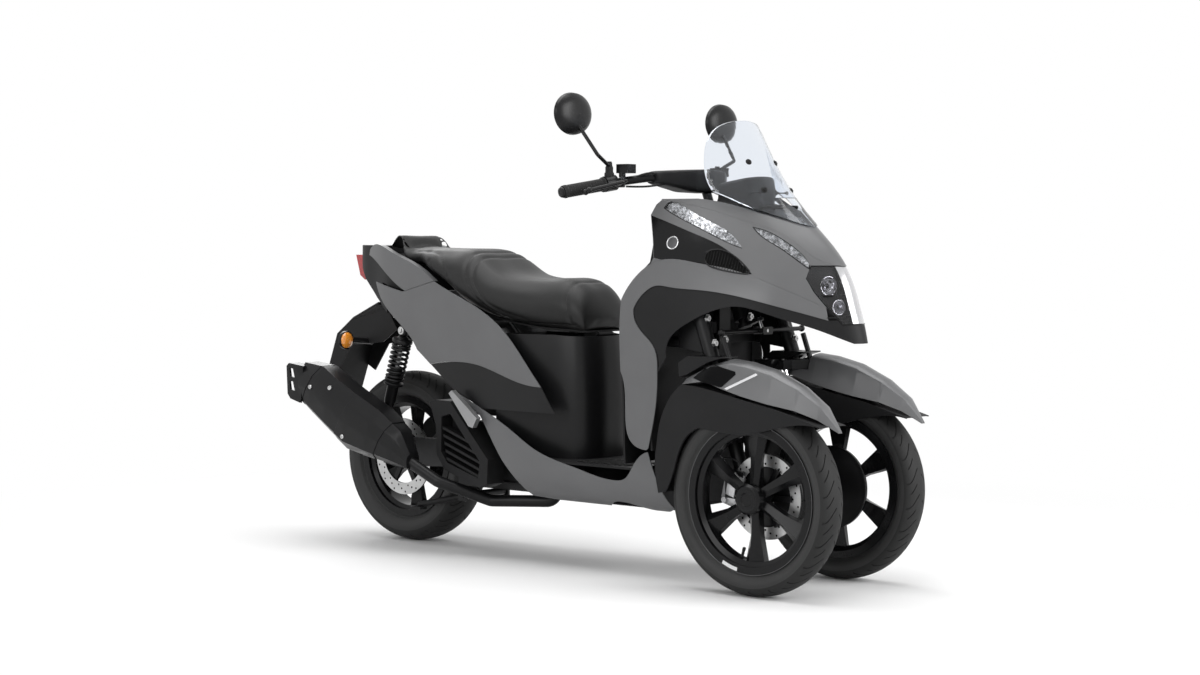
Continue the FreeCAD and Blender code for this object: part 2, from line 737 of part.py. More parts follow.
def turn_region():
    upper = fs((-74, 940), (-40, 931), (16, 900), (60, 864), (84, 826))
    lower = fs((84, 826), (50, 851), (4, 884), (-48, 916), (-74, 940))
    return side_region(upper[0], upper[1:], lower[1:])


def headlight_region(grow=0.0):
    g = grow
    near = [(-68 - g, 740), (-78 - g, 774), (-82 - g, 808), (-66 - g, 840 + g)]
    face = straight(front, [(-48 - g, 692 - g)] + near + [(-y, z) for y,
                                                          z in reversed(near)] + [(48 + g, 692 - g)])
    return between(face, X_AXIS, F(0), F(260))


def nose_region():
    line = nose_line()
    return side_region(line[0], line[1:], fs((-340, 1016)), fs((-300, 1016)),
                       fs((-160, 1003), (-60, 974), (34, 942)), fs((190, 930)))


def nose_panel():
    return cowl_shell(0, PANEL_T).common(nose_region())


def front_panels():
    """Painted sides of the front body, between the nose panel and the wheel arch band."""
    line = [(x, z - SEAT_GAP) for x, z in nose_line()]
    band = [(x, z + SEAT_GAP) for x, z in flange_top()[:-2]]
    rear = fs((-354, 1000), (-367, 973), (-339, 860))
    region = side_region(line[0], line[1:], *[[point] for point in rear], [band[-1]],
                         list(reversed(band[:-1])),
                         fs((230, 690)), fs((230, 838)))
    shell = cowl_shell(0, PANEL_T).common(region)
    cut = shell.cut([vent_region(), lamp_region(), turn_region(), headlight_region(1.5)])
    return group(*[solid for solid in cut.Solids if solid.Volume > SLIVER])


def leg_region():
    top = flange_top()
    edge = shield_front()
    return side_region(top[0], top[1:], fs((-421, 560)), fs((-407, 483), (-394, 376), (-342, 353)),
                       [edge[-1]],
                       list(reversed(edge[:-1])), list(reversed(flange_low()[:-1])))


def leg_shield():
    """Painted band over the wheel arch that runs down as the side of the leg shield."""
    return cowl_shell(0, PANEL_T).common(leg_region()).cut(headlight_region(1.5))


def arch_trim():
    """Black inner edge of the wheel arches, with the lip below the headlight."""
    low = flange_low()
    edge = shield_front()
    inner = fs((-262, 600), (-253, 649), (-202, 691), (-129, 726), (-70, 736), (-14, 723), (40, 703),
               (90, 686), (150, 662), (188, 643))
    region = side_region(low[0], low[1:-1] + [edge[0]], [edge[1], edge[2], edge[3]], [inner[0]], inner[1:],
                         fs((250, 643)), fs((250, 702)))
    shell = cowl_shell(TRIM_INSET, PANEL_T).common(region)
    return shell.cut([headlight_region(SEAT_GAP), leg_region()])


def vent_covers():
    return cowl_shell(TRIM_INSET, PANEL_T).common(vent_region()).cut(leg_region())


def front_lamps():
    shell = cowl_shell(TRIM_INSET, PANEL_T)
    shell = shell.cut([nose_region().translated(V(0, 0, -SEAT_GAP)), headlight_region(1.5)])
    return group(shell.common(lamp_region()), shell.common(turn_region()))


def headlight():
    """Headlight unit: its housing fills the opening, and the lens face follows the body."""
    region = headlight_region()
    face = skin_solid(COWL, TRIM_INSET).common(region).cut(nose_region().translated(V(0, 0, -SEAT_GAP)))
    back = box(F(0), F(62), -90, 90, 690, 842)
    return face.cut(back)


def screen_sheet():
    """The sheet that the windscreen is cut from, curved round the rider."""
    rows = []
    for z, x, bow in ((930, 56, 0.0090), (1000, -18, 0.0066), (1060, -72, 0.0050),
                      (1130, -122, 0.0040), (1230, -186, 0.0032)):
        rows.append([V(F(x) - bow * y * y, y, z) for y in (-165, -110, -55, 0, 55, 110, 165)])
    surface = Part.BSplineSurface()
    surface.interpolate(rows)
    return surface.toShape().makeOffsetShape(SCREEN_T, 0.1, fill=True)


def screen():
    """Clear windscreen with a pointed foot and a rounded top."""
    trim = outline(front, (0, 940), [(-22, 944), (-61, 962), (-104, 992), (-148, 1032)],
                   [(-152, 1070), (-146, 1120), (-130, 1165), (-92, 1203), (-46, 1218), (0, 1222)],
                   [(46, 1218), (92, 1203), (130, 1165), (146, 1120), (152, 1070), (148, 1032)],
                   [(104, 992), (61, 962), (22, 944), (0, 940)])
    return screen_sheet().common(between(trim, X_AXIS, F(-420), F(90))).cut(skin_solid(COWL, -SEAT_GAP))


def dash():
    """Black top deck between the screen and the rider, with the instrument housing."""
    top = fs((-338, 1008), (-300, 1008), (-160, 996), (-60, 966), (22, 938))
    strip = straight(side, top + [(x, z - DECK_T) for x, z in reversed(top)])
    deck = skin_solid(COWL, TRIM_INSET + PANEL_T + SEAT_GAP).common(across(strip, -200, 200))
    cup = outline(plan, (F(-106), 0), [(F(-112), 40), (F(-134), 66)], [(F(-222), 74)], [(F(-222), -74)],
                  [(F(-134), -66)], [(F(-112), -40), (F(-106), 0)])
    pod = between(cup, Z_AXIS, 985, 1075)
    slope = across(straight(side, fs((-300, 1044), (-100, 1076), (-100, 1200), (-300, 1200))), -200, 200)
    stem_room = rod(on_axis(980), on_axis(1060), STEM_R + 18)
    return joined(deck, pod.cut(slope), *screen_posts()).cut(stem_room)


def screen_posts():
    """Four posts from the instrument housing and the deck to the back of the windscreen."""
    sheet = screen_sheet()
    posts = []
    for y, z, start in ((60, 1030, -145), (30, 992, -128)):
        probe = rod(V(F(-400), -y, z), V(F(100), -y, z), 6)
        reach = min(p.x for p in probe.common(sheet).tessellate(0.05)[0]) - SEAT_GAP
        post = rod(V(F(start), -y, z), V(reach, -y, z), 6)
        posts += [post, mirrored(post)]
    return posts


def inner_leg_shield():
    """Black wall that faces the rider's knees."""
    hull = skin_solid(COWL, PANEL_T + SEAT_GAP)
    rear = fs((SHIELD_REAR, 312), (SHIELD_REAR, 752), (-392, 800), (-350, 848),
              (-350, 1008 - DECK_T - SEAT_GAP))
    wall = hull.common(across(straight(side, rear + [(x + WALL_T, z) for x, z in reversed(rear)]), -300,
                              300))
    return wall.cut(vent_region().cut(skin_solid(COWL, TRIM_INSET + PANEL_T + SEAT_GAP)))


def front_wall():
    """Black inner wall behind the front wheels."""
    hull = skin_solid(COWL, TRIM_INSET + PANEL_T + SEAT_GAP)
    wall = hull.common(box(F(WALL_REAR), F(WALL_REAR) + WALL_T, -300, 300, BELLY_Z + 4 + SEAT_GAP, 860))
    floor_hull = skin_solid(floor_rows(), PANEL_T + SEAT_GAP)
    low = box(F(WALL_REAR) - 1, F(WALL_REAR) + WALL_T + 1, -300, 300, BELLY_Z, 352)
    beam = 26 + SEAT_GAP
    return wall.cut(low.cut(floor_hull)).cut(box(F(-400), F(-300), -beam, beam, 772 - SEAT_GAP,
                                                 812 + SEAT_GAP))


def spine_place():
    return F(WALL_REAR) - SEAT_GAP - SPINE_R


def side_rail(s, radius):
    """Floor rail that rises beside the storage tub as the seat rail."""
    points = [V(spine_place() - 60, s * RAIL_Y, RAIL_Z), V(R(610), s * RAIL_Y, RAIL_Z),
              V(R(470), s * SEAT_RAIL_Y, 430),
              V(R(250), s * SEAT_RAIL_Y, 655), V(R(-110), s * 40, 800)]
    return bent_rod(points, radius, 70)


def main_frame():
    """Head pipe, plates and pins for the cross arms, spine, floor rails, seat rails and stand ears."""
    upper = ARM_LOW_Z + ARM_SPREAD
    rear_plate = F(ARM_FRONT) - ARM_DEPTH - 6
    front_plate = F(ARM_FRONT) + 7
    spine_x = spine_place()
    foot_x = spine_x - 60
    parts = [rod(on_axis(HEAD_PIPE_LOW_Z), on_axis(HEAD_PIPE_TOP_Z), HEAD_PIPE_R)]
    parts.append(box(spine_x - 14, axis_x(790), -26, 26, 772, 812))
    parts.append(box(rear_plate - 10, rear_plate, -26, 26, ARM_LOW_Z - 24, 800))
    parts.append(box(front_plate, front_plate + 10, -24, 24, ARM_LOW_Z - 24, 800))
    for z in (ARM_LOW_Z, upper):
        parts.append(rod(V(rear_plate - 4, 0, z), V(front_plate + 4, 0, z), CENTRE_PIN_R))
    parts.append(bent_rod([V(spine_x, 0, 790), V(spine_x, 0, RAIL_Z + 40), V(foot_x, 0, RAIL_Z)], SPINE_R,
                          30))
    parts.append(rod(V(foot_x, -RAIL_Y, RAIL_Z), V(foot_x, RAIL_Y, RAIL_Z), SPINE_R))
    for name, s in SIDES:
        parts.append(side_rail(s, RAIL_R))
        pin_face = s * (SHOCK_Y - 14 - SEAT_GAP)
        parts.append(box(R(73), R(97), s * 92, pin_face, 700, 716))
        parts.append(box(R(73), R(97), s * 112, pin_face, 626, 716))
        parts.append(rod(V(R(85), s * 112, 640), V(R(85), s * (SHOCK_Y + 14), 640), SHOCK_PIN_R))
    parts.append(rod(V(R(250), -SEAT_RAIL_Y, 655), V(R(250), SEAT_RAIL_Y, 655), 12))
    parts.append(rod(V(R(-60), -53, 780), V(R(-60), 53, 780), 12))
    parts.append(box(R(-90), R(-60), -20, 20, 780, 886 - SEAT_GAP))
    stands = stand_ears()
    return joined(*parts + stands).cut(rod(on_axis(HEAD_PIPE_LOW_Z - 20), on_axis(HEAD_PIPE_TOP_Z + 20),
                                           STEM_R + RUN))


def stand_ears():
    """Ears and pins that carry both stands, with their stays up to the floor rails."""
    low = V(R(STAND_X), 0, STAND_Z)
    parts = [rod(low - Y_AXIS * 96, low + Y_AXIS * 96, STAND_PIN_R)]
    for name, s in SIDES:
        parts.append(box(low.x - 16, low.x + 16, s * 86, s * 94, STAND_Z - 14, 200))
        parts.append(box(low.x - 16, R(660), s * 86, s * 94, 192, 214))
    pivot = V(R(SIDE_STAND_X), SIDE_STAND_Y, SIDE_STAND_Z)
    parts.append(rod(pivot - SIDE_STAND_AXIS * 20, pivot + SIDE_STAND_AXIS * 10, STAND_PIN_R))
    parts.append(rod(pivot - SIDE_STAND_AXIS * 20, pivot - SIDE_STAND_AXIS * 10, 15))
    parts.append(box(R(SIDE_STAND_X - 14), R(SIDE_STAND_X + 14), RAIL_Y - 10, SIDE_STAND_Y - 14, 176,
                     RAIL_Z - 10))
    return parts


def engine():
    """Crankcase and forward-lying cylinder as one closed block, with the right-hand arm back to the axle."""
    case = outline(side, rs((286, 196))[0], rs((520, 190)), rs((560, 230)), rs((560, 330)), rs((480, 380)),
                   rs((300, 380)), rs((274, 330)))
    cylinder = box(R(555), R(650), -70, 70, 216, 292)
    wide = outline(side, rs((286, 216))[0], rs((420, 216)), rs((420, 340)), rs((300, 370)), rs((274, 320)))
    hanger = rod(V(R(540), -RAIL_Y - 2, 318), V(R(540), RAIL_Y + 2, 318), 12)
    arm_face = outline(side, rs((310, 250))[0], rs((310, 330)), rs((60, 320)), rs((24, 410)), rs((-6, 410)),
                       rs((-30, 240)), rs((20, 232)))
    arm_plate = across(arm_face, -112, -96)
    spacer = rod(V(R(0), -58 - SEAT_GAP, REAR_R), V(R(0), -100, REAR_R), 16)
    shock_pin = rod(V(R(10), -100, 392), V(R(10), -SHOCK_Y - 14, 392), SHOCK_PIN_R)
    shock_boss = rod(V(R(10), -100, 392), V(R(10), -SHOCK_Y + 14 + SEAT_GAP, 392), 12)
    solid = joined(across(case, -78, 78), across(wide, -110, 96 - SEAT_GAP), cylinder, arm_plate, spacer,
                   shock_pin, shock_boss)
    return solid.cut(rod(V(R(0), -130, REAR_R), V(R(0), -50, REAR_R), AXLE_R + SEAT_GAP)).cut(main_frame())


def transmission_case():
    """Belt case on the left, from the crankcase back to the rear axle, with the axle itself."""
    case = outline(side, rs((430, 200))[0], rs((470, 260), (430, 330)), rs((60, 345)),
                   rs((-75, 330), (-80, 256)), rs((-70, 190), (10, 178)))
    body = across(case, 96, 160)
    axle = rod(V(R(0), -112, REAR_R), V(R(0), 100, REAR_R), AXLE_R)
    collar = rod(V(R(0), 50 + SEAT_GAP, REAR_R), V(R(0), 100, REAR_R), 20)
    lug = box(R(-4), R(24), 98, SHOCK_Y - 14 - SEAT_GAP, 330, 404)
    pin = rod(V(R(10), 100, 392), V(R(10), SHOCK_Y + 14, 392), SHOCK_PIN_R)
    return joined(body, axle, collar, lug, pin)


def shocks():
    solids = []
    for name, s in SIDES:
        low = V(R(10), s * SHOCK_Y, 392)
        top = V(R(85), s * SHOCK_Y, 640)
        along = (top - low).normalize()
        eyes = Y_AXIS * 14
        unit = joined(rod(low, top, 9), rod(low + along * 30, low + along * 110, 20),
                      rod(low + along * 100, top - along * 30, 27), rod(low - eyes, low + eyes, 13),
                      rod(top - eyes, top + eyes, 13))
        for end in (low, top):
            unit = unit.cut(rod(end - eyes, end + eyes, SHOCK_PIN_R + SEAT_GAP))
        solids.append(unit)
    return group(*solids)


SILENCER_ROWS = (
    # top and bottom of the section at the rear station, and half its width
    ((222, 292), (216, 246), 26), ((192, 356), (150, 258), 42), ((110, 411), (58, 275), 52),
    ((20, 453), (-31, 294), 55),
    ((-59, 492), (-112, 346), 55), ((-124, 530), (-186, 394), 52), ((-206, 540), (-222, 418), 48))


def silencer_ring(top, bottom, wide):
    """Ten-sided section with a crease along each flank."""
    top = V(R(top[0]), -SILENCER_Y, top[1])
    bottom = V(R(bottom[0]), -SILENCER_Y, bottom[1])
    middle = (top + bottom) / 2
    up = (top - bottom) / 2
    half = [(0.55, 1.0), (0.93, 0.55), (1.0, -0.05), (0.86, -0.72), (0.4, -1.0)]
    ring = half + [(-y, z) for y, z in reversed(half)]
    points = [middle + up * z + Y_AXIS * (y * wide) for y, z in ring]
    return Part.makePolygon(points + points[:1])


def exhaust():
    """Silencer on the right, rising to the rear, with its slotted tail plate, outlet, pipe and bracket."""
    body = Part.makeLoft([silencer_ring(*row) for row in SILENCER_ROWS], True, True)
    pipe = bent_rod([V(R(600), -40, 216 - SEAT_GAP), V(R(600), -40, 165), V(R(420), -120, 160),
                     V(R(300), -SILENCER_Y + 20, 215), V(R(205), -SILENCER_Y, 268)], 17, 30)
    bracket = box(R(34), R(58), -SILENCER_Y + 40, -112 - SEAT_GAP, 296, 316)
    skin_y = -SILENCER_Y - 46
    plate = straight(side, rs((-196, 530), (-258, 537), (-268, 528), (-264, 446), (-252, 432), (-206, 420)))
    plate = across(plate, skin_y, skin_y + TAIL_PLATE_T)
    for z in (455, 494):
        slot = straight(side, rs((-232, z), (-252, z + 4), (-256, z + 30), (-240, z + 28)))
        plate = plate.cut(across(slot, skin_y - 1, skin_y + TAIL_PLATE_T + 1))
    roof = straight(side, rs((-196, 530), (-258, 537), (-258, 533), (-196, 526)))
    roof = across(roof, skin_y, skin_y + 40)
    outlet = rod(V(R(-200), -SILENCER_Y + 16, 476), V(R(-246), -SILENCER_Y + 16, 486), 21, 18)
    return joined(body, pipe, bracket, plate, roof, outlet)


BODY = {}
BODY.update(level(430, [(-212, 0), (-190, 58), (-110, 100), (0, 138), (150, 158), (300, 172), (450, 183),
                        (600, 194), (700, 198), (800, 190)], R))
BODY.update(level(600, [(-212, 0), (-190, 58), (-110, 100), (0, 140), (150, 158), (300, 172), (450, 181),
                        (600, 190), (700, 192), (800, 184)], R))
BODY.update(level(750, [(-212, 0), (-190, 60), (-110, 104), (0, 142), (150, 158), (300, 166), (450, 170),
                        (600, 172), (700, 172), (800, 165)], R))
BODY.update(level(900, [(-216, 0), (-192, 58), (-110, 100), (0, 136), (150, 150), (300, 156), (450, 158),
                        (600, 158), (700, 156), (800, 150)], R))


def body_solid(inset):
    """Rear body hull: rows run from the tail forward, so the nose end here is the tail."""
    wires = []
    for z in sorted(BODY):
        half = [V(x + inset * (y == 0), -(y - inset) if y else 0.0, z) for x, y in BODY[z]]
        other = [V(p.x, -p.y, p.z) for p in reversed(half[1:])]
        curve = Part.BSplineCurve()
        curve.interpolate(other + half)
        wires.append(Part.Wire([curve.toShape(), edge_through([half[-1], other[0]])]))
    return Part.makeLoft(wires, True, False)


def body_shell(inset, thick):
    return body_solid(inset).cut(body_solid(inset + thick))


def cover_top():
    """Edge of the painted side cover along the seat, from the grab rail down to its tip."""
    return rs((232, 787), (348, 741), (451, 697), (515, 658), (600, 584), (681, 501))


def side_covers():
    top = cover_top()
    low = rs((681, 501), (569, 516), (422, 553), (327, 558), (221, 547))
    region = side_region(top[0], top[1:], low[1:], rs((161, 587)), rs((71, 670), (-9, 734), (-40, 783)),
                         rs((93, 756)), rs((108, 757)))
    return body_shell(0, PANEL_T).common(region)


def lower_covers():
    upper = [(x, z - SEAT_GAP) for x, z in rs((681, 501), (569, 516), (422, 553), (327, 558), (221, 547))]
    low = [(x, z + SEAT_GAP) for x, z in floor_edge()]
    region = side_region(upper[0], upper[1:], rs((288, 501)), [low[0]], low[1:], rs((790, 335)))
    return body_shell(TRIM_INSET, PANEL_T).common(region)


def grab_rails():
    """Handles either side of the tail: the painted rail, open below for the fingers."""
    region = side_region(rs((-85, 878))[0], rs((-71, 888), (41, 872), (153, 832), (230, 788)),
                         rs((108, 758)), rs((63, 780), (-20, 832), (-88, 862)))
    return body_shell(0, 20).common(region)


def tail_cover():
    """Black tail: the deck behind the seat, the recess under the rails and the underside."""
    region = side_region(rs((-205, 862))[0], rs((-210, 892)), rs((-42, 890)), rs((-38, 866)), rs((50, 850)),
                         rs((150, 815), (220, 772), (225, 760)), rs((100, 753)), rs((-42, 780)),
                         rs((-11, 734)),
                         rs((-11, 690)), rs((-80, 735)), rs((-150, 790)))
    under_deck = side_region(rs((-165, 650))[0], rs((-165, 886)), rs((-46, 886)), rs((-42, 862)),
                             rs((50, 846)),
                             rs((108, 822)), rs((108, 650)))
    half = [(112, 104), (0, 102), (-110, 62), (-160, 38)]
    points = [(R(x), y) for x, y in half] + [(R(x), -y) for x, y in reversed(half)]
    hollow = between(straight(plan, points), Z_AXIS, 640, 900).common(under_deck)
    lamp = box(R(-260), R(-150 + 4), -46 - SEAT_GAP, 46 + SEAT_GAP, 786 - SEAT_GAP, 862 + SEAT_GAP)
    return body_solid(26).common(region).cut(hollow).cut(lamp)


def tail_lamp():
    lamp = outline(side, rs((-214, 862))[0], rs((-196, 800)), rs((-176, 786)), rs((-150, 786)),
                   rs((-150, 862)))
    return across(lamp, -46, 46)


def rear_fender():
    t = 4
    strip = outline(side, rs((-80, 720))[0], rs((-190, 672)), rs((-262, 620)), rs((-330, 440)),
                    rs((-330 + t, 440)), rs((-262 + t, 614)), rs((-190, 664)), rs((-80, 712)))
    web = outline(side, rs((-40, 700))[0], rs((-190, 664)), rs((-262 + t, 614)), rs((-300, 520)),
                  rs((-262, 500)), rs((-200, 585)), rs((-60, 600)), rs((0, 640)))
    parts = [across(strip, -82, 82), across(web, -82, -78), across(web, 78, 82)]
    parts.append(box(R(-90), R(-30), -78, 78, 690, 700))
    parts.append(box(R(-72), R(-48), -20, 20, 695, 768 - SEAT_GAP))
    return joined(*parts)


def rear_indicators():
    solids = []
    for name, s in SIDES:
        x, z = R(-122), 606
        stalk = rod(V(x, s * (82 + SEAT_GAP), z), V(x, s * 150, z), 8)
        lens = rod(V(x - 22, s * 168, z), V(x + 4, s * 168, z), 26)
        solids.append(joined(stalk, lens, rod(V(x, s * 140, z), V(x - 8, s * 168, z), 9)))
    return group(*solids)


SEAT_ROWS = (
    # station from the rear axle, bottom z, top z, bottom half width, top half width
    (752, 664, 690, 84, 74), (738, 655, 752, 102, 84), (700, 657, 786, 112, 92), (600, 662, 792, 130, 108),
    (500, 675, 795, 148, 128), (430, 690, 812, 156, 134), (370, 712, 848, 158, 128),
    (310, 742, 872, 156, 120),
    (250, 782, 876, 150, 116), (190, 818, 877, 146, 116), (150, 840, 878, 128, 112),
    (120, 846, 879, 116, 104),
    (50, 858, 882, 110, 98), (-30, 872, 886, 92, 80))


def seat_section(station, low, top, wide, flat, drop=0.0):
    x = R(station)
    high = top - low
    points = [V(x, -0.82 * wide, low), V(x, -wide, low + 0.25 * high),
              V(x, -0.5 * (wide + flat) - 4, low + 0.7 * high), V(x, -0.72 * flat, top - 4),
              V(x, 0, top)]
    mirror_points = [V(p.x, -p.y, p.z) for p in reversed(points[:-1])]
    curve = Part.BSplineCurve()
    curve.interpolate(points + mirror_points)
    return Part.Wire([curve.toShape(), edge_through([mirror_points[-1], points[0]])])


def seat_pad():
    return Part.makeLoft([seat_section(*row) for row in SEAT_ROWS], True, False)


def seat_base():
    """Moulded pan under the cushion, with its hinge sleeve at the front."""
    wires = []
    for station, low, top, wide, flat in SEAT_ROWS[:-3]:
        x = R(SEAT_HINGE_X if station == 738 else station)
        y = 0.72 * wide
        z = low - SEAT_GAP
        if station != 752:
            wires.append(Part.makePolygon([V(x, -y, z), V(x, y, z), V(x, y, z - 5), V(x, -y, z - 5),
                                           V(x, -y, z)]))
    pin = V(R(SEAT_HINGE_X), 0, SEAT_HINGE_Z)
    sleeve = rod(pin - Y_AXIS * 30, pin + Y_AXIS * 30, 8)
    neck = box(R(SEAT_HINGE_X - 6), R(SEAT_HINGE_X), -30, 30, SEAT_HINGE_Z, SEAT_ROWS[1][1] - 2)
    pan = joined(Part.makeLoft(wires, True, True), sleeve, neck)
    return pan.cut([rod(pin - Y_AXIS * 60, pin + Y_AXIS * 60, 4 + RUN), seat_pad()])


def centre_cover():
    """Black body below the seat, down to the footboard."""
    rows = {}
    rows.update(level(FLOOR_Z + SEAT_GAP, [(772, 0), (768, 60), (740, 104), (660, 132), (560, 150),
                                           (480, 158)], R))
    rows.update(level(450, [(776, 0), (772, 60), (744, 106), (660, 136), (560, 156), (480, 164)], R))
    rows.update(level(643, [(760, 0), (756, 50), (730, 94), (660, 124), (560, 146), (480, 156)], R))
    outer = skin_solid(rows)
    inner = skin_solid(rows, 4)
    shell = outer.cut(inner)
    slope = side_region(rs((800, 700))[0], rs((800, 638)), rs((700, 640)), rs((600, 648)), rs((440, 672)),
                        rs((440, 700)))
    return shell.cut(slope)


def storage_tub():
    """Open tub under the seat, with its lugs to the seat rails and the ears and pin of the seat hinge."""
    outer = box(R(440), R(700), -100, 100, 420, 640)
    parts = [outer.cut(box(R(444), R(696), -96, 96, 424, 641))]
    for name, s in SIDES:
        parts.append(box(R(699), R(SEAT_HINGE_X), s * 31, s * 37, 622, SEAT_HINGE_Z + HINGE_EAR_R))
        parts.append(box(R(456), R(484), s * 99, s * 126, 422, 438))
    pin = V(R(SEAT_HINGE_X), 0, SEAT_HINGE_Z)
    for name, s in SIDES:
        parts.append(rod(pin + Y_AXIS * s * 31, pin + Y_AXIS * s * 37, HINGE_EAR_R))
    parts.append(rod(pin - Y_AXIS * 34, pin + Y_AXIS * 34, 4))
    return joined(*parts).cut([side_rail(s, RAIL_R + SEAT_GAP) for name, s in SIDES])


def footboard():
    """Black floor with its outer rim above the painted sides, open where the engine stands."""
    slab = box(R(560), F(SHIELD_REAR) + WALL_T + 20, -300, 300, FLOOR_Z - 6, FLOOR_Z)
    board = skin_solid(floor_rows(), PANEL_T + SEAT_GAP).common(slab)
    low = [(x, z + SEAT_GAP) for x, z in floor_edge()[3:]]
    region = side_region(low[0], low[1:], [(F(-407), FLOOR_Z - 2), (R(700), FLOOR_Z - 1)])
    rim = skin_solid(floor_rows(), TRIM_INSET).cut(skin_solid(floor_rows(),
                                                              TRIM_INSET + PANEL_T)).common(region)
    return joined(board, rim).cut(box(R(500), R(700), -128, 128, 200, 400))


def floor_edge():
    """Upper edge of the painted floor side, from the passenger's footrest forward to the leg shield."""
    return rs((332, 473), (447, 427), (558, 377), (658, 326)) + [(R(815), 284), (F(-478), 262),
                                                                 (F(-432), 270), (F(-401), 307),
                                                                 (F(-352), 346)]


def floor_rows():
    rows = {}
    for z, w in ((184, 140), (205, 168), (250, 190), (320, 197), (480, 192)):
        rows[z] = [(F(-180), 0), (F(-190), 0.5 * w), (F(-230), 0.86 * w), (F(-330), w), (F(-430), w),
                   (R(700), w), (R(500), w - 4), (R(320), w - 14)]
    return rows


def floor_sides():
    rows = floor_rows()
    shell = skin_solid(rows).cut(skin_solid(rows, PANEL_T))
    upper = floor_edge()
    region = side_region(upper[0], upper[1:],
                         fs((-294, 197)), fs((-312, 187), (-380, 186), (-520, 186)), rs((708, 187)),
                         rs((616, 193)),
                         rs((532, 287)), rs((455, 388)), rs((436, 410)), rs((330, 462)))
    return shell.common(region)


def under_tray():
    """Flat tray under the floor, with posts up to the floor rails."""
    face = outline(plan, (F(-320), -126), [(F(-320), 126)], [(F(-420), 130)], [(R(660), 130)],
                   [(R(660), -130)], [(F(-420), -130)])
    parts = [between(face, Z_AXIS, BELLY_Z, BELLY_Z + 4)]
    for name, s in SIDES:
        parts.append(box(F(-480), F(-460), s * (RAIL_Y - 8), s * (RAIL_Y + 8), BELLY_Z + 3,
                         RAIL_Z - RAIL_R - SEAT_GAP))
    return joined(*parts)


def radiator_guard():
    frame_face = straight(side, rs((249, 440), (274, 447), (330, 446), (357, 416), (478, 287), (474, 216),
                                   (447, 205), (309, 247), (277, 288), (273, 374)))
    block = across(frame_face, -196, -128)
    room = straight(side, rs((296, 400), (330, 410), (446, 280), (440, 232), (318, 268), (294, 300)))
    shell = block.cut(across(room, -200, -150))
    slats = []
    for k in range(6):
        x0, z0 = R(296 + 4 * k), 372 - 22 * k
        slat = straight(side, [(x0, z0), (x0 + 150, z0 - 52), (x0 + 150, z0 - 60), (x0, z0 - 8)])
        slats.append(across(slat, -192, -160).common(across(room, -200, -140)))
    bracket = box(R(330), R(356), -129, -110 - SEAT_GAP, 300, 330)
    return joined(shell, bracket, *slats)


def footpegs():
    """Passenger footrests, folded back against the body, each on its bracket."""
    peg = straight(side, rs((342, 470), (354, 479), (452, 404), (436, 376), (420, 380)))
    bracket = box(R(392), R(424), -198, -160, 404, 420)
    return pair(joined(across(peg, -214, -197),
                       bracket).cut(body_solid(TRIM_INSET - SEAT_GAP)).cut(skin_solid(floor_rows(),
                                                                                      -SEAT_GAP)))


def centre_stand():
    """Folded centre stand: two legs with feet, joined by a cross tube, on a tube round its pin."""
    pivot = V(R(STAND_X), 0, STAND_Z)
    parts = [rod(pivot - Y_AXIS * 82, pivot + Y_AXIS * 82, 11)]
    for name, s in SIDES:
        knee = pivot + V(-40, s * 76, -8)
        foot = pivot + V(-172, s * 100, -38)
        parts.append(bent_rod([pivot + Y_AXIS * (s * 72), knee, foot], 9, 12))
        parts.append(box(foot.x - 22, foot.x + 20, s * 88, s * 116, foot.z - 12, foot.z - 4))
    bridge = pivot + V(-28, 0, -6)
    parts.append(rod(bridge - Y_AXIS * 72, bridge + Y_AXIS * 72, 7))
    return joined(*parts).cut(rod(pivot - Y_AXIS * 100, pivot + Y_AXIS * 100, STAND_PIN_R + RUN))


def side_stand():
    """Folded side stand; its pin is tilted so that the foot swings down and outward."""
    pivot = V(R(SIDE_STAND_X), SIDE_STAND_Y, SIDE_STAND_Z)
    foot = pivot + V(-186, 9, -18)
    parts = [rod(pivot - SIDE_STAND_AXIS * 7, pivot + SIDE_STAND_AXIS * 7, 14)]
    parts.append(rod(pivot + V(-6, 0, 0), foot, 8))
    parts.append(box(foot.x - 24, foot.x + 14, foot.y - 8, foot.y + 12, foot.z - 12, foot.z - 6))
    return joined(*parts).cut(rod(pivot - SIDE_STAND_AXIS * 20, pivot + SIDE_STAND_AXIS * 20,
                                  STAND_PIN_R + RUN))


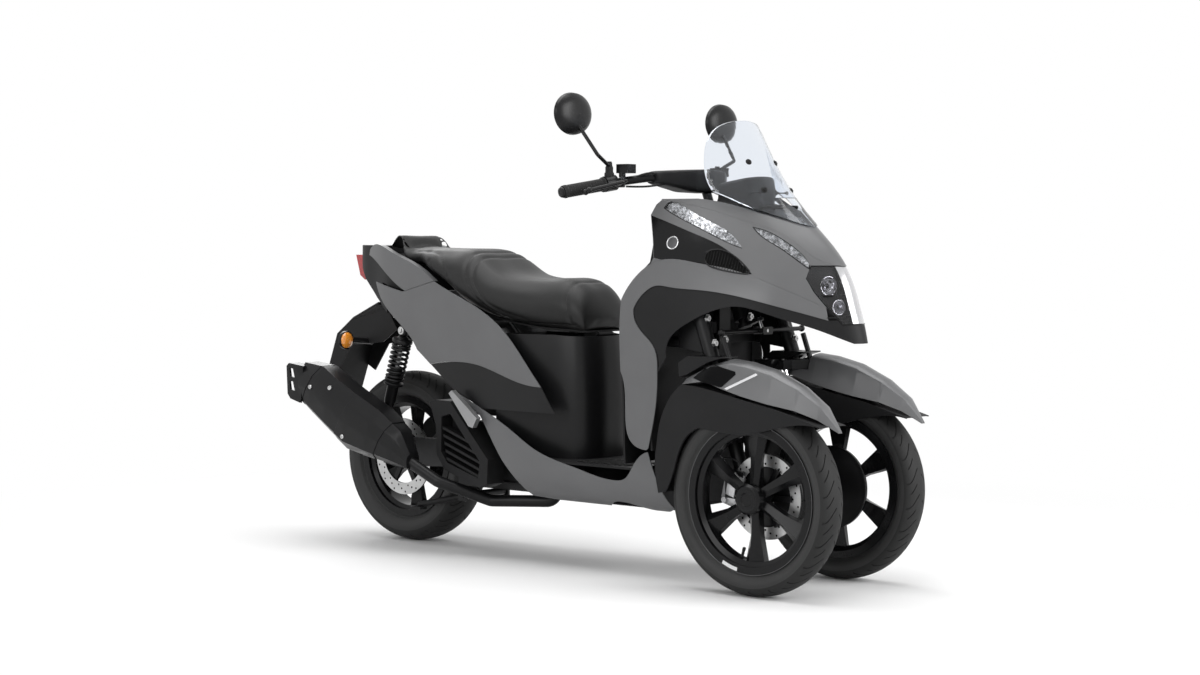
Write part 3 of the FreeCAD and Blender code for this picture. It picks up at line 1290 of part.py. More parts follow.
def make_parts():
    right_wheel = front_wheel_right()
    right_tyre = tyre(V(F(0), -TRACK / 2, FRONT_R), FRONT_R, FRONT_TYRE_W, FRONT_RIM_R, FRONT_BEAD_R,
                      FRONT_RIM_W)
    right = {
        "wheel_front": right_wheel,
        "tyre_front": right_tyre,
        "fork": fork_right(),
        "knuckle": knuckle_right(),
        "fender": fender_right(),
        "fender_side": fender_side_right(),
        "holder": holder_right(),
    }
    parts = {}
    for name, shape in right.items():
        parts[name + "_right"] = shape
        parts[name + "_left"] = mirrored(shape)
    parts["wheel_rear"] = rear_wheel()
    parts["tyre_rear"] = tyre(V(R(0), 0, REAR_R), REAR_R, REAR_TYRE_W, REAR_RIM_R, REAR_BEAD_R, REAR_RIM_W)
    parts["upper_arm"] = arm(ARM_LOW_Z + ARM_SPREAD, RUN)
    parts["lower_arm"] = arm(ARM_LOW_Z, OPEN_PIN)
    parts["tie_rod"] = tie_rod()
    parts["tie_swivel"] = tie_swivel()
    parts["handlebar"] = handlebar()
    parts["bar_cover"] = bar_cover()
    parts["grips"] = grips()
    parts["controls"] = controls()
    parts["mirrors"] = mirrors()
    parts["main_frame"] = main_frame()
    parts["nose_panel"] = nose_panel()
    parts["front_panels"] = front_panels()
    parts["leg_shield"] = leg_shield()
    parts["arch_trim"] = arch_trim()
    parts["vent_covers"] = vent_covers()
    parts["front_lamps"] = front_lamps()
    parts["headlight"] = headlight()
    parts["windscreen"] = screen()
    parts["dash"] = dash()
    parts["inner_leg_shield"] = inner_leg_shield()
    parts["front_wall"] = front_wall()
    parts["engine"] = engine()
    parts["transmission_case"] = transmission_case()
    parts["shocks"] = shocks()
    parts["exhaust"] = exhaust()
    parts["side_covers"] = side_covers()
    parts["lower_covers"] = lower_covers()
    parts["grab_rails"] = grab_rails()
    parts["tail_cover"] = tail_cover()
    parts["tail_lamp"] = tail_lamp()
    parts["rear_fender"] = rear_fender()
    parts["rear_indicators"] = rear_indicators()
    parts["seat_pad"] = seat_pad()
    parts["seat_base"] = seat_base()
    parts["centre_cover"] = centre_cover()
    parts["storage_tub"] = storage_tub()
    parts["footboard"] = footboard()
    parts["floor_sides"] = floor_sides()
    parts["under_tray"] = under_tray()
    parts["radiator_guard"] = radiator_guard()
    parts["footpegs"] = footpegs()
    parts["centre_stand"] = centre_stand()
    parts["side_stand"] = side_stand()
    return parts


os.makedirs("parts", exist_ok=True)
for node, solid in make_parts().items():
    solid.exportStep("parts/" + node + ".step")
    print(node, len(solid.Solids), round(solid.Volume / 1000), solid.isValid())
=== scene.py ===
"""Looks of the leaning trike: finishes, tyre tread, drilled discs, lamps, seat, hoses and fasteners."""
import json
import math

import bmesh
import bpy
from mathutils import Matrix, Vector, kdtree
from mathutils.bvhtree import BVHTree


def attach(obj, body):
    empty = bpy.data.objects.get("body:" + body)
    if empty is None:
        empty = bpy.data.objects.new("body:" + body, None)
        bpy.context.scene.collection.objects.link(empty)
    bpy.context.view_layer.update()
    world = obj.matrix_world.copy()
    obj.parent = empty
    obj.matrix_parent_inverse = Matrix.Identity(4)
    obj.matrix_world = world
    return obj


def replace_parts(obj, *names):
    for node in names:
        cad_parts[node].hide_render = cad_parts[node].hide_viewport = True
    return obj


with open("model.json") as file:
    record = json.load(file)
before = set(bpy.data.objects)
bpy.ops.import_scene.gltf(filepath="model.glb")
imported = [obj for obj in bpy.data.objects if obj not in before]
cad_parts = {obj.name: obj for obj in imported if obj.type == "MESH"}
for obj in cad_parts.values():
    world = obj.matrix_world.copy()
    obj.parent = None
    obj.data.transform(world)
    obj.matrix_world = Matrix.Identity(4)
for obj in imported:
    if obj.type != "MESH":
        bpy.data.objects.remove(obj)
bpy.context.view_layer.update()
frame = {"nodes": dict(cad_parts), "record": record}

NODES = frame["nodes"]
BODY_OF = {node: body for body, nodes in frame["record"]["behaviour"]["bodies"].items() for node in nodes}
SIDES = (("right", -1), ("left", 1))

MM = 0.001

# Main places in millimetres, in the frame of the part
FRONT_AXLE = Vector((742.5, 0, 250))
REAR_AXLE = Vector((-667.5, 0, 256))
HALF_TRACK = 192.5


def new_object(name, bm, body, slot, *materials):
    """Turns a finished bmesh into a piece that rides on a body."""
    mesh = bpy.data.meshes.new(name)
    bm.to_mesh(mesh)
    bm.free()
    piece = bpy.data.objects.new(name, mesh)
    bpy.context.scene.collection.objects.link(piece)
    for material in materials:
        mesh.materials.append(material)
    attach(piece, body)
    return piece


def soften(bm, angle=35):
    """Smooth shading with sharp edges past an angle."""
    limit = math.radians(angle)
    for face in bm.faces:
        face.smooth = True
    for edge in bm.edges:
        edge.smooth = edge.is_manifold and edge.calc_face_angle(0.0) < limit


def add(name, bm, body, slot, *materials, angle=40):
    """Softens a shape and makes it a piece."""
    soften(bm, angle)
    return new_object(name, bm, body, slot, *materials)


def outward(bm):
    bmesh.ops.remove_doubles(bm, verts=bm.verts, dist=0.00001)
    bmesh.ops.recalc_face_normals(bm, faces=bm.faces)


def record_slot(node):
    return next(row["material_slot"] for row in frame["record"]["subparts"] if row["node"] == node)


def link(data):
    """A new object on some data, in the scene."""
    piece = bpy.data.objects.new(data.name, data)
    bpy.context.scene.collection.objects.link(piece)
    return piece


def evaluated_mesh(piece):
    """Mesh of an object with its curve or modifiers worked out."""
    bpy.context.view_layer.update()
    return bpy.data.meshes.new_from_object(piece.evaluated_get(bpy.context.evaluated_depsgraph_get()))


def swap_mesh(piece, mesh):
    old = piece.data
    piece.data = mesh
    bpy.data.meshes.remove(old)


def bmesh_of(mesh):
    bm = bmesh.new()
    bm.from_mesh(mesh)
    return bm


def smooth_all(bm, verts):
    bmesh.ops.smooth_vert(bm, verts=verts, factor=0.5, use_axis_x=True, use_axis_y=True, use_axis_z=True)


# Materials


def node_material(name):
    material = bpy.data.materials.new(name)
    material.use_nodes = True
    return material, material.node_tree.nodes, material.node_tree.links, material.node_tree.nodes["Principled BSDF"]


def set_values(node, values):
    for socket, value in values.items():
        node.inputs[socket].default_value = value


def valued(nodes, kind, **values):
    """New node with values on its sockets."""
    node = nodes.new(kind)
    set_values(node, values)
    return node


def finish(name, colour, rough, metal=0.0, coat=0.0, grain=900.0, bump=0.05, spread=0.06, blotch=9.0,
           tone=0.12, specular=0.5, edge=0.0007):
    """A surface with fine grain, uneven roughness and a drift of tone, all on object coordinates. The drift is
    slight, save where a large tone paints glints.
    """
    material, nodes, links, shader = node_material(name)
    coords = nodes.new("ShaderNodeTexCoord")
    fine = valued(nodes, "ShaderNodeTexNoise", Scale=grain, Detail=3)
    broad = valued(nodes, "ShaderNodeTexNoise", Scale=blotch, Detail=5)
    links.new(coords.outputs["Object"], fine.inputs["Vector"])
    links.new(coords.outputs["Object"], broad.inputs["Vector"])
    roughness = nodes.new("ShaderNodeMapRange")
    set_values(roughness, {"To Min": max(rough - spread, 0.01), "To Max": min(rough + spread, 1.0)})
    links.new(broad.outputs["Fac"], roughness.inputs["Value"])
    links.new(roughness.outputs["Result"], shader.inputs["Roughness"])
    ramp = nodes.new("ShaderNodeValToRGB")
    low, high = ramp.color_ramp.elements
    low.position, high.position = 0.3, 0.7
    low.color = (*[c * (1 - tone) for c in colour], 1)
    high.color = (*[min(c * (1 + tone), 1.0) for c in colour], 1)
    links.new(broad.outputs["Fac"], ramp.inputs["Fac"])
    links.new(ramp.outputs["Color"], shader.inputs["Base Color"])
    relief = valued(nodes, "ShaderNodeBump", Strength=bump, Distance=0.0005)
    links.new(fine.outputs["Fac"], relief.inputs["Height"])
    links.new(relief.outputs["Normal"], shader.inputs["Normal"])
    if edge:
        worn = valued(nodes, "ShaderNodeBevel", Radius=edge)
        worn.samples = 4
        links.new(worn.outputs["Normal"], relief.inputs["Normal"])
    set_values(shader, {"Metallic": metal, "Coat Weight": coat, "Coat Roughness": 0.12,
                        "Specular IOR Level": specular})
    return material


def clear_finish(name, colour, ior=1.45):
    """Clear or tinted moulding that light passes through, with faint smears in its gloss."""
    material, nodes, links, shader = node_material(name)
    coords = nodes.new("ShaderNodeTexCoord")
    smear = valued(nodes, "ShaderNodeTexNoise", Scale=14.0)
    span = nodes.new("ShaderNodeMapRange")
    set_values(span, {"To Min": 0.02, "To Max": 0.05})
    links.new(coords.outputs["Object"], smear.inputs["Vector"])
    links.new(smear.outputs["Fac"], span.inputs["Value"])
    links.new(span.outputs["Result"], shader.inputs["Roughness"])
    set_values(shader, {"Base Color": (*colour, 1), "Transmission Weight": 1.0, "IOR": ior})
    return material


PAINT = finish("satin_grey_paint", (0.118, 0.119, 0.122), 0.36, metal=0.25, grain=2600, bump=0.03, tone=0.05,
               spread=0.04)
BLACK = finish("grained_black_plastic", (0.011, 0.011, 0.0115), 0.5, grain=1500, bump=0.22, tone=0.15,
               specular=0.16)
SATIN_BLACK = finish("smooth_black_plastic", (0.007, 0.007, 0.0075), 0.32, grain=900, bump=0.03, tone=0.15,
                     specular=0.22)
GLOSS_BLACK = finish("polished_black_plastic", (0.005, 0.005, 0.0055), 0.14, grain=500, bump=0.01, spread=0.04,
                     specular=0.22)
BLACK_METAL = finish("black_enamel", (0.008, 0.008, 0.0085), 0.34, grain=1100, bump=0.05, specular=0.2)
WHEEL_BLACK = finish("wheel_enamel", (0.006, 0.006, 0.0065), 0.22, grain=700, bump=0.03, specular=0.2)
TYRE_WALL = finish("tyre_side", (0.03, 0.03, 0.03), 0.6, specular=0.3, grain=500, bump=0.08, tone=0.12, edge=0)
# Painted shade: groove floors darker and rougher than the tread rubber, for the shade in the cuts.
GROOVE_SHADE = finish("tyre_groove_painted_shade", (0.006, 0.006, 0.006), 0.8, grain=700, bump=0.1, edge=0)
DISC = finish("ground_steel", (0.5, 0.5, 0.5), 0.34, metal=0.9, grain=300, bump=0.12, blotch=30, edge=0)
# Painted highlight: a pale, glossy colour for the middle strip of the headlight, standing in for the strong light on
# it.
STRIP_HIGHLIGHT = finish("lamp_strip_painted_highlight", (0.42, 0.42, 0.43), 0.16, metal=0.2, coat=1.0, grain=200, bump=0.01, tone=0.02)
SHADE = finish("lamp_housing", (0.05, 0.05, 0.051), 0.3, metal=0.4, grain=300, bump=0.05)
SILVER = finish("silver_print", (0.62, 0.62, 0.63), 0.25, metal=0.8, grain=300, bump=0.02, tone=0.04)
DARK_SILVER = finish("dull_silver_field", (0.09, 0.09, 0.093), 0.3, metal=0.8, grain=700, bump=0.08, tone=0.06)
# Partly painted shade: a black mesh, made darker and less glossy than the other blacks for the shade in the recess
# behind it.
MESH = finish("grille_mesh_painted_shade", (0.004, 0.004, 0.004), 0.6, grain=260, bump=0.9, edge=0, specular=0.05)
THREAD = finish("seat_thread", (0.03, 0.03, 0.03), 0.6, grain=900, bump=0.1, edge=0)
# Painted glints: the metal's colour swings from near black to bright in small patches, standing in for light caught
# by the facets; the strong bump is real relief.
CRYSTAL_GLINTS = finish("faceted_reflector_painted_glints", (0.42, 0.42, 0.43), 0.12, metal=1.0, grain=70, bump=1.0, blotch=120, spread=0.1,
                 tone=0.97, edge=0)
PLATE = finish("badge_black", (0.0025, 0.0025, 0.0028), 0.3, grain=400, bump=0.02, specular=0.06)
TYRE = finish("tyre_rubber", (0.014, 0.014, 0.014), 0.66, specular=0.3, grain=800, bump=0.2, tone=0.2, edge=0)
RUBBER = finish("grip_rubber", (0.014, 0.014, 0.014), 0.62, grain=900, bump=0.25, specular=0.2)
ALLOY = finish("cast_alloy", (0.3, 0.3, 0.305), 0.46, metal=0.8, grain=700, bump=0.25)
DARK_ALLOY = finish("dark_casting", (0.03, 0.03, 0.031), 0.5, metal=0.4, grain=700, bump=0.3, specular=0.3)
CASTING = finish("bright_casting", (0.55, 0.55, 0.56), 0.4, metal=0.7, grain=600, bump=0.35)
LABEL = finish("white_label", (0.8, 0.8, 0.8), 0.4, grain=300, bump=0.02, tone=0.02, edge=0)
# Painted highlight: thin rings on the rim's edges, paler and more metallic than the black wheel, for the light lines
# on its lips.
RIM_HIGHLIGHT = finish("rim_edge_painted_highlight", (0.09, 0.09, 0.092), 0.16, metal=0.5, grain=300, bump=0.01, edge=0)
STEEL = finish("brushed_steel", (0.52, 0.52, 0.52), 0.3, metal=1.0, grain=500, bump=0.05)
CHROME = finish("chrome", (0.7, 0.7, 0.71), 0.08, metal=1.0, grain=200, bump=0.01, spread=0.04)
SEAT = finish("seat_cover", (0.012, 0.012, 0.012), 0.46, specular=0.28, grain=700, bump=0.3, tone=0.12, edge=0)
CLEAR = clear_finish("clear_acrylic", (0.8, 0.84, 0.9))
LENS = clear_finish("clear_lens", (0.78, 0.79, 0.8), ior=1.3)
SMOKED = clear_finish("smoked_lens", (0.5, 0.5, 0.52), ior=1.4)
AMBER = finish("amber_lens", (0.85, 0.3, 0.03), 0.14, coat=1.0, grain=120, bump=0.08)
RED = finish("red_lens", (0.4, 0.01, 0.012), 0.12, coat=1.0, grain=120, bump=0.05)
REFLECTOR = finish("lamp_reflector", (0.75, 0.75, 0.76), 0.1, metal=1.0, grain=160, bump=0.2)
MIRROR = finish("mirror_glass", (0.8, 0.81, 0.82), 0.03, metal=1.0, grain=50, bump=0.0, spread=0.01, tone=0.01)


def merged(node):
    """Copy of a rigid piece with its loose triangles joined."""
    bm = bmesh_of(NODES[node].data)
    bmesh.ops.remove_doubles(bm, verts=bm.verts, dist=0.00002)
    return bm


def skin(node, material):
    """Smooth copy of a rigid piece, which stands for it, in its finish."""
    piece = add(node + "_skin", merged(node), BODY_OF[node], record_slot(node), material, angle=33)
    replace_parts(piece, node)


FINISH_OF = (
    (PAINT, "nose_panel front_panels leg_shield side_covers grab_rails floor_sides fender_right fender_left"),
    (BLACK, "arch_trim"), (GLOSS_BLACK, "vent_covers"), (BLACK, "inner_leg_shield front_wall"),
    (SATIN_BLACK, "lower_covers"), (BLACK, "tail_cover rear_fender"), (SATIN_BLACK, "centre_cover"),
    (BLACK, "storage_tub footboard under_tray radiator_guard seat_base"), (SATIN_BLACK, "controls"),
    (BLACK, "fender_side_right fender_side_left"), (SATIN_BLACK, "mirrors"),
    (WHEEL_BLACK, "wheel_front_right wheel_front_left wheel_rear"), (RUBBER, "grips"),
    (BLACK_METAL, "main_frame exhaust upper_arm lower_arm holder_right holder_left fork_right fork_left "
                  "knuckle_right knuckle_left tie_rod"),
    (STEEL, "tie_swivel"), (BLACK_METAL, "handlebar centre_stand side_stand"),
    (DARK_ALLOY, "transmission_case engine"), (ALLOY, "footpegs"), (CLEAR, "windscreen"), (RED, "tail_lamp"),
)

for material, names in FINISH_OF:
    for node in names.split():
        skin(node, material)


# Shapes


def absorb(bm, *others):
    """Adds other meshes to this one."""
    for other in others:
        mesh = bpy.data.meshes.new("part")
        other.to_mesh(mesh)
        other.free()
        bm.from_mesh(mesh)
        bpy.data.meshes.remove(mesh)
    return bm


def lathe(profile, steps=48, closed=False):
    """Shape turned about Z from (radius, height) points in millimetres."""
    bm = bmesh.new()
    verts = [bm.verts.new((radius * MM, 0, height * MM)) for radius, height in profile]
    pairs = list(zip(verts, verts[1:])) + ([(verts[-1], verts[0])] if closed else [])
    edges = [bm.edges.new(pair) for pair in pairs]
    bmesh.ops.spin(bm, geom=verts + edges, cent=(0, 0, 0), axis=(0, 0, 1), dvec=(0, 0, 0), angle=math.tau,
                   steps=steps, use_merge=True, use_duplicate=False)
    outward(bm)
    return bm


def slab(outline, depth, rim=0.0, segments=2):
    """Plate from a flat outline in millimetres, raised along Z, with eased edges."""
    bm = bmesh.new()
    face = bm.faces.new([bm.verts.new((x * MM, y * MM, 0)) for x, y in outline])
    raised = bmesh.ops.extrude_face_region(bm, geom=[face])
    tops = [part for part in raised["geom"] if isinstance(part, bmesh.types.BMVert)]
    bmesh.ops.translate(bm, vec=(0, 0, depth * MM), verts=tops)
    outward(bm)
    if rim:
        bmesh.ops.bevel(bm, geom=bm.edges[:], offset=rim * MM, segments=segments, profile=0.5, affect="EDGES",
                        material=-1)
    return bm


def block(length, width, height, rim=1.0):
    """Box with eased edges, centred, in millimetres."""
    half, side = length / 2, width / 2
    bm = slab([(-half, -side), (half, -side), (half, side), (-half, side)], height, rim)
    bmesh.ops.translate(bm, vec=(0, 0, -height * MM / 2), verts=bm.verts)
    return bm


def placed(bm, place, axis=(0, 0, 1), roll=0.0):
    """Turns Z to the axis and moves the shape to a place in millimetres."""
    turn = Vector(axis).to_track_quat("Z", "Y").to_matrix().to_4x4() @ Matrix.Rotation(roll, 4, "Z")
    bmesh.ops.transform(bm, matrix=Matrix.Translation(Vector(place) * MM) @ turn, verts=bm.verts)
    return bm


def smooth_line(points, cuts):
    """NURBS curve, order 3, through control points in metres, joined to its two ends."""
    curve = bpy.data.curves.new("line", "CURVE")
    curve.dimensions = "3D"
    spline = curve.splines.new("NURBS")
    spline.points.add(len(points) - 1)
    for point, place in zip(spline.points, points):
        point.co = (*place, 1)
    spline.order_u = 3
    spline.use_endpoint_u = True
    spline.resolution_u = cuts
    return curve


def curve_mesh(curve):
    """Mesh of a curve, which is used up."""
    holder = link(curve)
    mesh = evaluated_mesh(holder)
    bpy.data.objects.remove(holder)
    bpy.data.curves.remove(curve)
    return mesh


def curve_shape(curve):
    mesh = curve_mesh(curve)
    bm = bmesh_of(mesh)
    bpy.data.meshes.remove(mesh)
    outward(bm)
    return bm


def run(points, radius, sides=10, cuts=12):
    """Round bar or hose along a smooth line through a few places in millimetres."""
    curve = smooth_line([Vector(place) * MM for place in points], cuts)
    curve.bevel_depth = radius * MM
    curve.bevel_resolution = max(sides // 2 - 2, 0)
    curve.use_fill_caps = True
    return curve_shape(curve)


def tree_of(*nodes):
    bm = bmesh.new()
    for node in nodes:
        bm.from_mesh(NODES[node].data)
    tree = BVHTree.FromBMesh(bm)
    bm.free()
    return tree


REACH = 3.0


def hit(tree, place, direction):
    """Where a line in a direction meets the surface, from well outside, with the normal there."""
    direction = Vector(direction).normalized()
    start = Vector(place) * MM - direction * REACH / 2
    found, normal, _, _ = tree.ray_cast(start, direction, REACH)
    if normal is not None and normal.dot(direction) > 0:
        normal = -normal
    return found, normal


def drape(bm, tree, direction):
    """Lays a flat shape, drawn facing a direction, on a surface. Height above the plane stays as height above it.

    A point that misses the surface keeps the depth of the one before it.
    """
    direction = Vector(direction).normalized()
    last = None
    for vert in bm.verts:
        height = -vert.co.dot(direction)
        flat = vert.co + direction * height
        found = tree.ray_cast(flat - direction * REACH / 2, direction, REACH)[0]
        if found is not None:
            vert.co = found - direction * height
            last = found
        elif last is not None:
            vert.co = flat + direction * (last.dot(direction) - height)


def sheet_on(tree, outline, thickness, side, cuts=5, sink=0.4):
    """Thin plate whose outline is (x, z) in millimetres, laid on a flank from the side."""
    bm = slab([(x, z) for x, z in outline], thickness + sink)
    bmesh.ops.triangulate(bm, faces=[face for face in bm.faces if len(face.verts) > 4])
    bmesh.ops.subdivide_edges(bm, edges=bm.edges[:], cuts=cuts, use_grid_fill=True)
    bmesh.ops.translate(bm, vec=(0, 0, -sink * MM), verts=bm.verts)
    for vert in bm.verts:
        x, z, height = vert.co
        vert.co = (x, side * height, z)
    drape(bm, tree, (0, -side, 0))
    bmesh.ops.recalc_face_normals(bm, faces=bm.faces)
    return bm


def thicken(bm, thickness):
    """Gives an open surface a wall inwards, each point straight down from its own normal, in millimetres."""
    bm.normal_update()
    homes = {vert: vert.normal.copy() for vert in bm.verts}
    places = {tuple(round(c, 7) for c in vert.co): vert for vert in bm.verts}
    out = bmesh.ops.extrude_face_region(bm, geom=bm.faces[:], use_keep_orig=True)
    for part in out["geom"]:
        if isinstance(part, bmesh.types.BMVert):
            home = places.get(tuple(round(c, 7) for c in part.co))
            if home is not None:
                part.co -= homes[home] * thickness * MM
    bmesh.ops.recalc_face_normals(bm, faces=bm.faces)


def outline_tube(bm, radius):
    """Round beads along the open edges of a surface."""
    left = {edge: True for edge in bm.edges if edge.is_boundary}
    beads = bmesh.new()
    while left:
        edge, _ = left.popitem()
        loop = [edge.verts[0], edge.verts[1]]
        while True:
            following = next((other for other in loop[-1].link_edges if other in left), None)
            if following is None:
                break
            del left[following]
            loop.append(following.other_vert(loop[-1]))
        line = [loop[0].co]
        for vert in loop[1:]:
            if (vert.co - line[-1]).length > 0.004:
                line.append(vert.co)
        if len(line) > 8:
            line.append(loop[-1].co)
            absorb(beads, run([place / MM for place in line], radius, 8, 2))
    soften(beads, 60)
    return beads


def screw(radius, height):
    """Domed screw head with a hollow for the key."""
    return lathe([(0, height * 0.45), (radius * 0.42, height * 0.45), (radius * 0.46, height),
                  (radius * 0.8, height * 0.92), (radius, height * 0.5), (radius, -0.6), (0, -0.6)], 20)


# Tyres


GROOVE_DEPTH = 0.0024


def tyre(node, body, axle, profile, pitches, steps, sweep, grooves, wall):
    """Ring turned from half a profile of (across, radius), sheared so that its cuts run along curved sipes; the cuts
    are coloured darker as painted shade.
    """
    bm = bmesh.new()
    rows = [(-across, radius) for across, radius in reversed(profile)] + list(profile[1:])
    widest = max(across for across, _ in rows)

    def lean_at(across):
        share = min(abs(across) / (widest * 0.92), 1.0)
        return sweep * (3 * share ** 2 - 2 * share ** 3)

    verts = []
    for across, radius in rows:
        lean = lean_at(across)
        verts.append(bm.verts.new((radius * MM * math.sin(lean), across * MM, radius * MM * math.cos(lean))))
    edges = [bm.edges.new(pair) for pair in zip(verts, verts[1:])]
    edges.append(bm.edges.new((verts[-1], verts[0])))
    bmesh.ops.spin(bm, geom=verts + edges, cent=(0, 0, 0), axis=(0, 1, 0), dvec=(0, 0, 0), angle=math.tau,
                   steps=pitches * steps, use_merge=True, use_duplicate=False)
    outward(bm)
    turn = math.tau / (pitches * steps)
    cut = []
    for face in bm.faces:
        middle = face.calc_center_median()
        across = middle.y / MM
        around = math.atan2(middle.x, middle.z) - lean_at(across)
        index = math.floor(around / turn) % (pitches * steps)
        phase = (index + (steps // 4 if across < 0 else 0)) % steps
        radius = math.hypot(middle.x, middle.z) / MM
        if radius < wall and abs(across) > widest * 0.6:
            face.material_index = 1
        if radius > wall and any(phase == at and low < abs(across) < high for at, low, high in grooves):
            cut.append(face)
    bmesh.ops.inset_region(bm, faces=cut, thickness=0.0004, depth=-GROOVE_DEPTH, use_even_offset=True)
    # The groove faces take the painted shade colour, darker than the tread.
    for face in cut:
        face.material_index = 2
    bmesh.ops.translate(bm, vec=axle * MM, verts=bm.verts)
    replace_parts(add(f"{node}_tread", bm, body, "tyre", TYRE, TYRE_WALL, GROOVE_SHADE, angle=30), node)


def crown(edge, top, count):
    """Points of a round crown from the shoulder (across, radius) to the top radius."""
    across, low = edge
    return [(across * math.cos(math.pi / 2 * step / count),
             low + (top - low) * math.sin(math.pi / 2 * step / count)) for step in range(1, count + 1)]


FRONT_TYRE = [(27.2, 178.3), (27.2, 192), (29.5, 196.5), (33, 199.5), (34.6, 201.2), (35.6, 200.9), (37, 202.2),
              (40, 205), (42.4, 208.5), (44, 212), (44.8, 215), (45, 218), (44.7, 221)]
REAR_TYRE = [(44.2, 167.3), (44.2, 182), (47, 187), (52, 189.6), (53.8, 191.4), (55, 191.2), (57, 194), (60, 197.5),
             (62.6, 202), (64.2, 207), (65, 213), (64.8, 217)]


def tyres():
    front = (FRONT_TYRE + crown((44.2, 224), 250, 22))[::-1]
    rear = (REAR_TYRE + crown((64, 222), 256, 26))[::-1]
    for name, side in SIDES:
        axle = FRONT_AXLE + Vector((0, side * HALF_TRACK, 0))
        tyre(f"tyre_front_{name}", f"wheel_front_{name}", axle, front, 23, 16, 0.17, ((0, 7, 41), (7, 14, 36)), 224)
    tyre("tyre_rear", "wheel_rear", REAR_AXLE, rear, 22, 18, 0.22, ((0, 8, 59), (8, 20, 52)), 222)


# Brake discs


def drilled_ring(inner, outer, rows, holes, hole):
    """Flat ring with rows of drilled holes, 0.4 mm thick, about Z."""
    curve = bpy.data.curves.new("ring", "CURVE")
    curve.dimensions = "2D"
    curve.fill_mode = "BOTH"
    curve.extrude = 0.0002
    circles = [(0, 0, outer, 48), (0, 0, inner, 40)]
    for index, radius in enumerate(rows):
        for count in range(holes):
            angle = math.tau * (count + index / len(rows)) / holes
            circles.append((radius * math.cos(angle), radius * math.sin(angle), hole, 8))
    for x, y, radius, sides in circles:
        spline = curve.splines.new("POLY")
        spline.points.add(sides * 2 - 1)
        for index, point in enumerate(spline.points):
            angle = math.tau * index / (sides * 2)
            point.co = ((x + radius * math.cos(angle)) * MM, (y + radius * math.sin(angle)) * MM, 0, 1)
        spline.use_cyclic_u = True
    return curve_shape(curve)


def discs():
    """Both faces of each brake disc, drilled."""
    front = (78, 109.8, (85, 94, 103), 12, 3.0)
    rear = (81, 114.8, (89, 98, 107), 14, 3.0)
    for name, body, axle, faces, side, ring in (
            ("right", "wheel_front_right", FRONT_AXLE, (152.75, 148.25), -1, front),
            ("left", "wheel_front_left", FRONT_AXLE, (152.75, 148.25), 1, front),
            ("rear", "wheel_rear", REAR_AXLE, (58.25, 53.75), -1, rear)):
        bm = bmesh.new()
        for y in faces:
            absorb(bm, placed(drilled_ring(*ring), axle + Vector((0, side * y, 0)), (0, side, 0)))
        new_object(f"drilled_disc_{name}", bm, body, "alloy", DISC)


# Lamps


def part_faces(bm, facing, least):
    """Faces that look along a direction, whose Y counts outwards from the middle plane."""
    chosen = []
    for face in bm.faces:
        side = 1 if face.calc_center_median().y > 0 else -1
        if face.normal.dot(Vector((facing[0], side * facing[1], facing[2])).normalized()) > least:
            chosen.append(face)
    return chosen


def keep_only(bm, faces):
    kept = set(faces)
    bmesh.ops.delete(bm, geom=[face for face in bm.faces if face not in kept], context="FACES")


def lens_and_bowl(node, facing, least, lens_material, rim, glass=1.6, highlight_half_width=0.0):
    """Hollow lamp: a lens of even thickness with a dark bead round it, and the bowl behind it. A band down the middle
    of the lens may take a pale colour that paints a highlight.
    """
    body = BODY_OF[node]
    lens = merged(node)
    keep_only(lens, part_faces(lens, facing, least))
    new_object(f"{node}_bead", outline_tube(lens, rim), body, "gloss_black", GLOSS_BLACK)
    if highlight_half_width:
        for side in (-1, 1):
            geometry = lens.verts[:] + lens.edges[:] + lens.faces[:]
            bmesh.ops.bisect_plane(lens, geom=geometry, plane_co=(0, side * highlight_half_width * MM, 0), plane_no=(0, 1, 0))
        # Faces in the middle band take the pale painted highlight colour.
        for face in lens.faces:
            face.material_index = 1 if abs(face.calc_center_median().y) < highlight_half_width * MM else 0
    thicken(lens, glass)
    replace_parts(add(f"{node}_lens", lens, body, "clear", lens_material, STRIP_HIGHLIGHT, angle=30), node)
    bowl = merged(node)
    lens_faces = set(part_faces(bowl, facing, least))
    keep_only(bowl, [face for face in bowl.faces if face not in lens_faces])
    return bowl


def lamp_cup(size):
    """Reflector bowl with its wall, open along Z."""
    return lathe([(size, 2), (size * 0.97, -1), (size * 0.8, -9), (size * 0.5, -14), (size * 0.3, -15.5),
                  (0, -15.5), (0, -17), (size * 0.34, -17), (size * 0.6, -15.5), (size * 0.9, -9.5),
                  (size * 1.07, -1), (size * 1.09, 2)], 40, closed=True)


def lamp_dome(size):
    return lathe([(0, -4), (size * 0.16, -4.4), (size * 0.3, -6.5), (size * 0.34, -10), (size * 0.34, -14), (0, -14)],
                 32)


